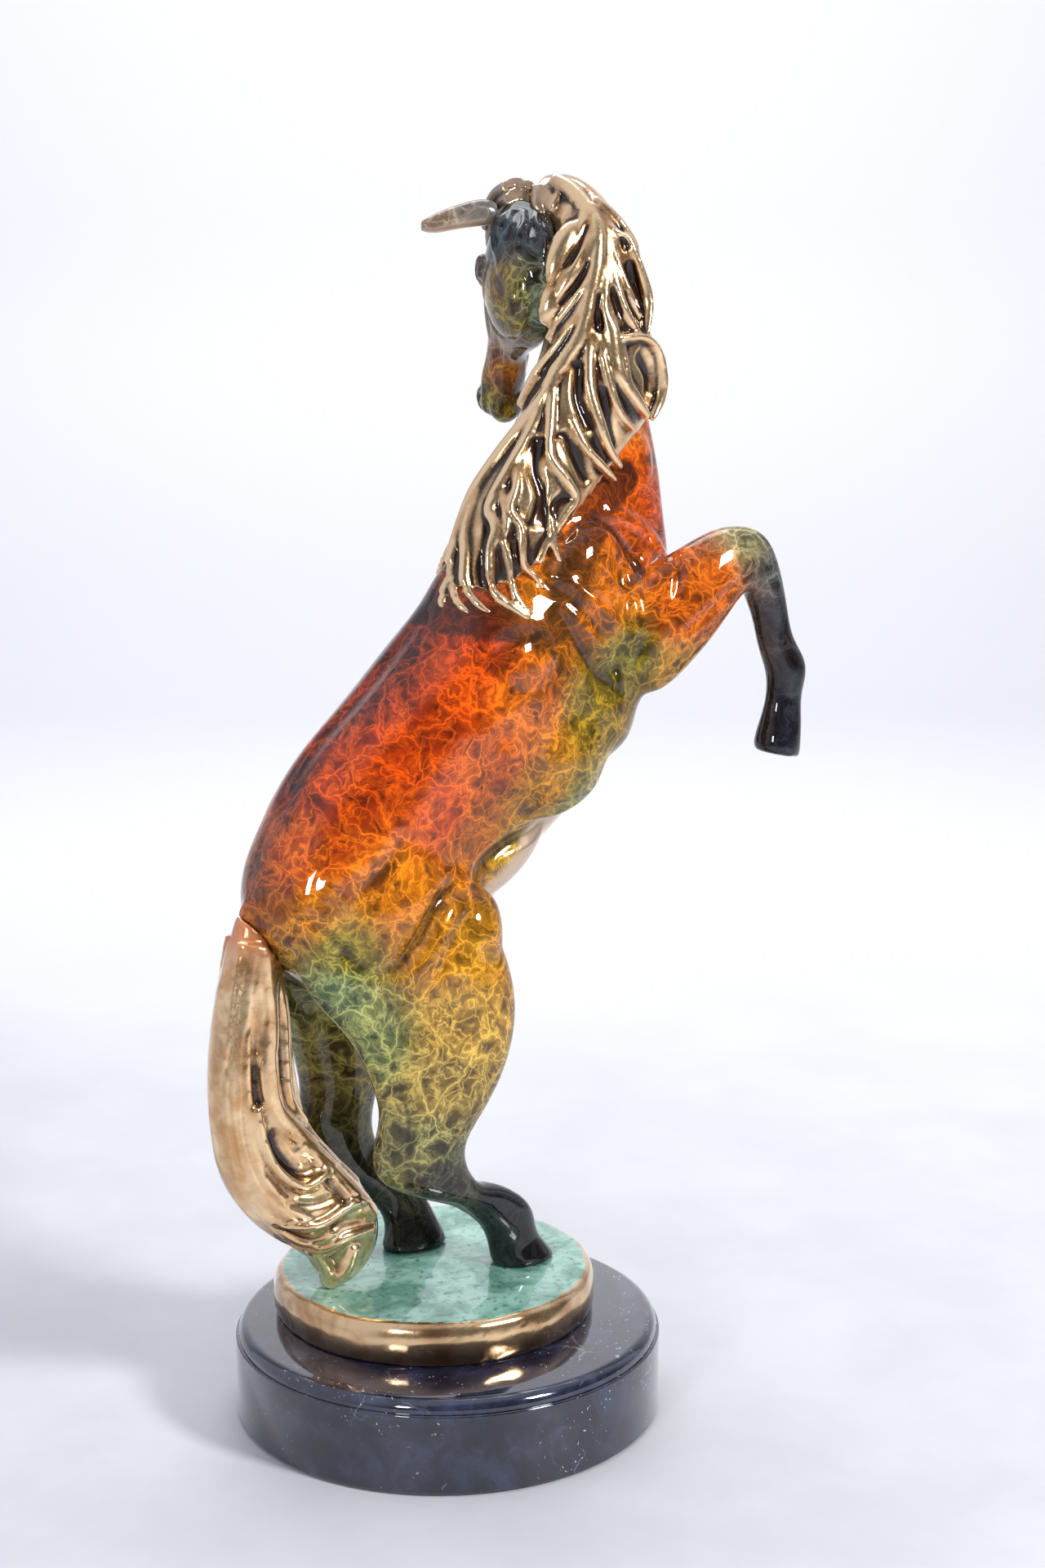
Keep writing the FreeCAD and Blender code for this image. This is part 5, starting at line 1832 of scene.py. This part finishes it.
@dataclass
class Studio:
    """The pale floor that sweeps up into a backdrop, the soft lights and the camera.

    Lengths are metres and turns are degrees. The camera looks along the heading, tilted down.
    """

    half_width: float = 3.0
    front: float = -2.5
    floor_size: float = 1.6
    sweep: float = 0.5
    sweep_steps: int = 12
    wall_top: float = 3.0
    heading: float = -30.0
    lens: float = 60.0
    sensor: float = 36.0
    aside: float = 0.0324
    distance: float = 1.041
    eye_height: float = 0.493
    tilt: float = 12.13
    roll: float = -0.15
    lights: tuple[Softbox, ...] = (
        Softbox("key", (0.55, -1.25, 1.0), (0.02, 0.0, 0.3), (0.26, 0.36), 26.0),
        Softbox("window", (-0.95, -0.75, 0.5), (0.0, 0.0, 0.24), (0.14, 0.2), 3.5),
        Softbox("top", (0.2, 0.5, 1.5), (0.0, 0.1, 0.3), (0.9, 0.6), 7.0),
        Softbox("wall", (0.3, 0.7, 1.6), (1.0, 1.75, 0.7), (1.8, 0.7), 18.0),
    )

    def build(self) -> None:
        """Builds the studio."""
        self.floor()
        for light in self.lights:
            light.hang()
        self.camera()
        self.surround()

    def floor(self) -> None:
        """Lays a pale floor that sweeps up behind the object, with painted light that makes it paler with
        distance and height.
        """
        profile = [(self.front, 0.0), (self.floor_size, 0.0)]
        for step in range(1, self.sweep_steps + 1):
            angle = math.radians(90.0 * step / self.sweep_steps)
            rise = self.sweep * (1.0 - math.cos(angle))
            profile.append((self.floor_size + self.sweep * math.sin(angle), rise))
        profile.append((self.floor_size + self.sweep, self.wall_top))
        bm = bmesh.new()
        verts = [bm.verts.new((-self.half_width, y, z)) for y, z in profile]
        edges = [bm.edges.new(pair) for pair in zip(verts, verts[1:])]
        grown = bmesh.ops.extrude_edge_only(bm, edges=edges)["geom"]
        fresh = [item for item in grown if isinstance(item, bmesh.types.BMVert)]
        bmesh.ops.translate(bm, verts=fresh, vec=(2.0 * self.half_width, 0, 0))
        turn = Matrix.Rotation(math.radians(self.heading), 3, "Z")
        bmesh.ops.rotate(bm, verts=bm.verts, cent=(0, 0, 0), matrix=turn)
        floor = object_from_bmesh(bm, "studio_floor")
        shade_smooth(floor.data)
        material, chain, shader = new_material("pale_floor")
        place = chain.put("TexCoord").outputs["Object"]
        grain = chain.put("TexNoise", Vector=place, Scale=9.0, Detail=4.0, Roughness=0.6).outputs["Fac"]
        height = chain.put("SeparateXYZ", Vector=place).outputs["Z"]
        # Painted light: the floor is painted darker near the camera and paler with distance and up the sweep.
        away = chain.dot(place, (0.5, 0.866, 0.0))
        near = chain.mix(chain.span(grain, 0.3, 0.7), linear(188, 189, 194), linear(198, 199, 203))
        ground = chain.mix(chain.span(away, -0.1, 1.1), near, linear(222, 222, 225))
        tone = chain.mix(chain.span(height, 0.0, 0.4), ground, linear(234, 234, 236))
        chain.tree.links.new(tone, shader.inputs["Base Color"])
        shader.inputs["Roughness"].default_value = 0.6
        floor.data.materials.append(material)

    def camera(self) -> None:
        """Sets the camera on the horse's right side."""
        data = bpy.data.cameras.new("camera")
        data.lens = self.lens
        data.sensor_width = self.sensor
        data.sensor_fit = "AUTO"
        camera = bpy.data.objects.new("camera", data)
        bpy.context.scene.collection.objects.link(camera)
        heading = math.radians(self.heading)
        right = Vector((math.cos(heading), math.sin(heading), 0.0))
        into = Vector((-math.sin(heading), math.cos(heading), 0.0))
        camera.location = right * self.aside - into * self.distance + Vector((0, 0, self.eye_height))
        turn = Matrix.Rotation(heading, 4, "Z") @ Matrix.Rotation(math.radians(90.0 - self.tilt), 4, "X")
        camera.rotation_euler = (turn @ Matrix.Rotation(math.radians(self.roll), 4, "Z")).to_euler()
        bpy.context.scene.camera = camera

    def surround(self) -> None:
        """Fills the room with pale light, dimmer on the camera's side and below."""
        world = bpy.data.worlds.new("studio")
        bpy.context.scene.world = world
        world.use_nodes = True
        back = world.node_tree.nodes["Background"]
        back.inputs["Color"].default_value = linear(236, 240, 255)
        chain = NodeChain(world.node_tree)
        ahead = chain.dot(chain.put("TexCoord").outputs["Generated"], (-0.1, 0.9, 0.42))
        chain.tree.links.new(chain.span(ahead, -0.4, 0.1, 0.14, 0.86), back.inputs["Strength"])
        bpy.context.scene.view_settings.view_transform = "Standard"


def dress_node(node: str, material: bpy.types.Material) -> None:
    """Gives a part of the fixed frame its finish."""
    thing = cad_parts[node]
    thing.data.materials.clear()
    thing.data.materials.append(material)
    log.info("%s keeps its shape", node)


def main() -> None:
    """Builds every piece and the studio."""
    logging.basicConfig(level=logging.INFO, format="%(name)s: %(message)s")
    veins = vein_group()
    wear = wear_group()
    patina = PatinaFinish("hot_patina").make(veins)
    head_patina = PatinaFinish("head_patina", cell=19.0, thin=1.5).make(veins)
    polished = PolishedFinish("polished_bronze").make(wear)
    pieces: list[Piece] = []
    pieces += Body().build(patina)
    pieces += Head().build(head_patina)
    pieces += Ear(Side.LEFT).build(head_patina)
    pieces += Ear(Side.RIGHT).build(head_patina)
    pieces += Mane().build(polished)
    pieces += Forelock().build(polished)
    pieces += Tail().build(polished)
    pieces += Ground().build(GroundFinish().make(wear))
    pieces += Marble().build(MarbleFinish().make())
    for piece in pieces:
        piece.place()
    felt = PlainFinish("green_felt", (30, 56, 44), (44, 74, 60), 900.0, 0.0, 0.9, 0.6).make()
    steel = PlainFinish("zinc_steel", (168, 170, 174), (196, 198, 202), 500.0, 1.0, 0.34).make()
    dress_node("felt_pad", felt)
    for node in ("fixing_studs", "fixing_washers", "fixing_nuts"):
        dress_node(node, steel)
    Studio().build()


if __name__ == "__main__":
    main()
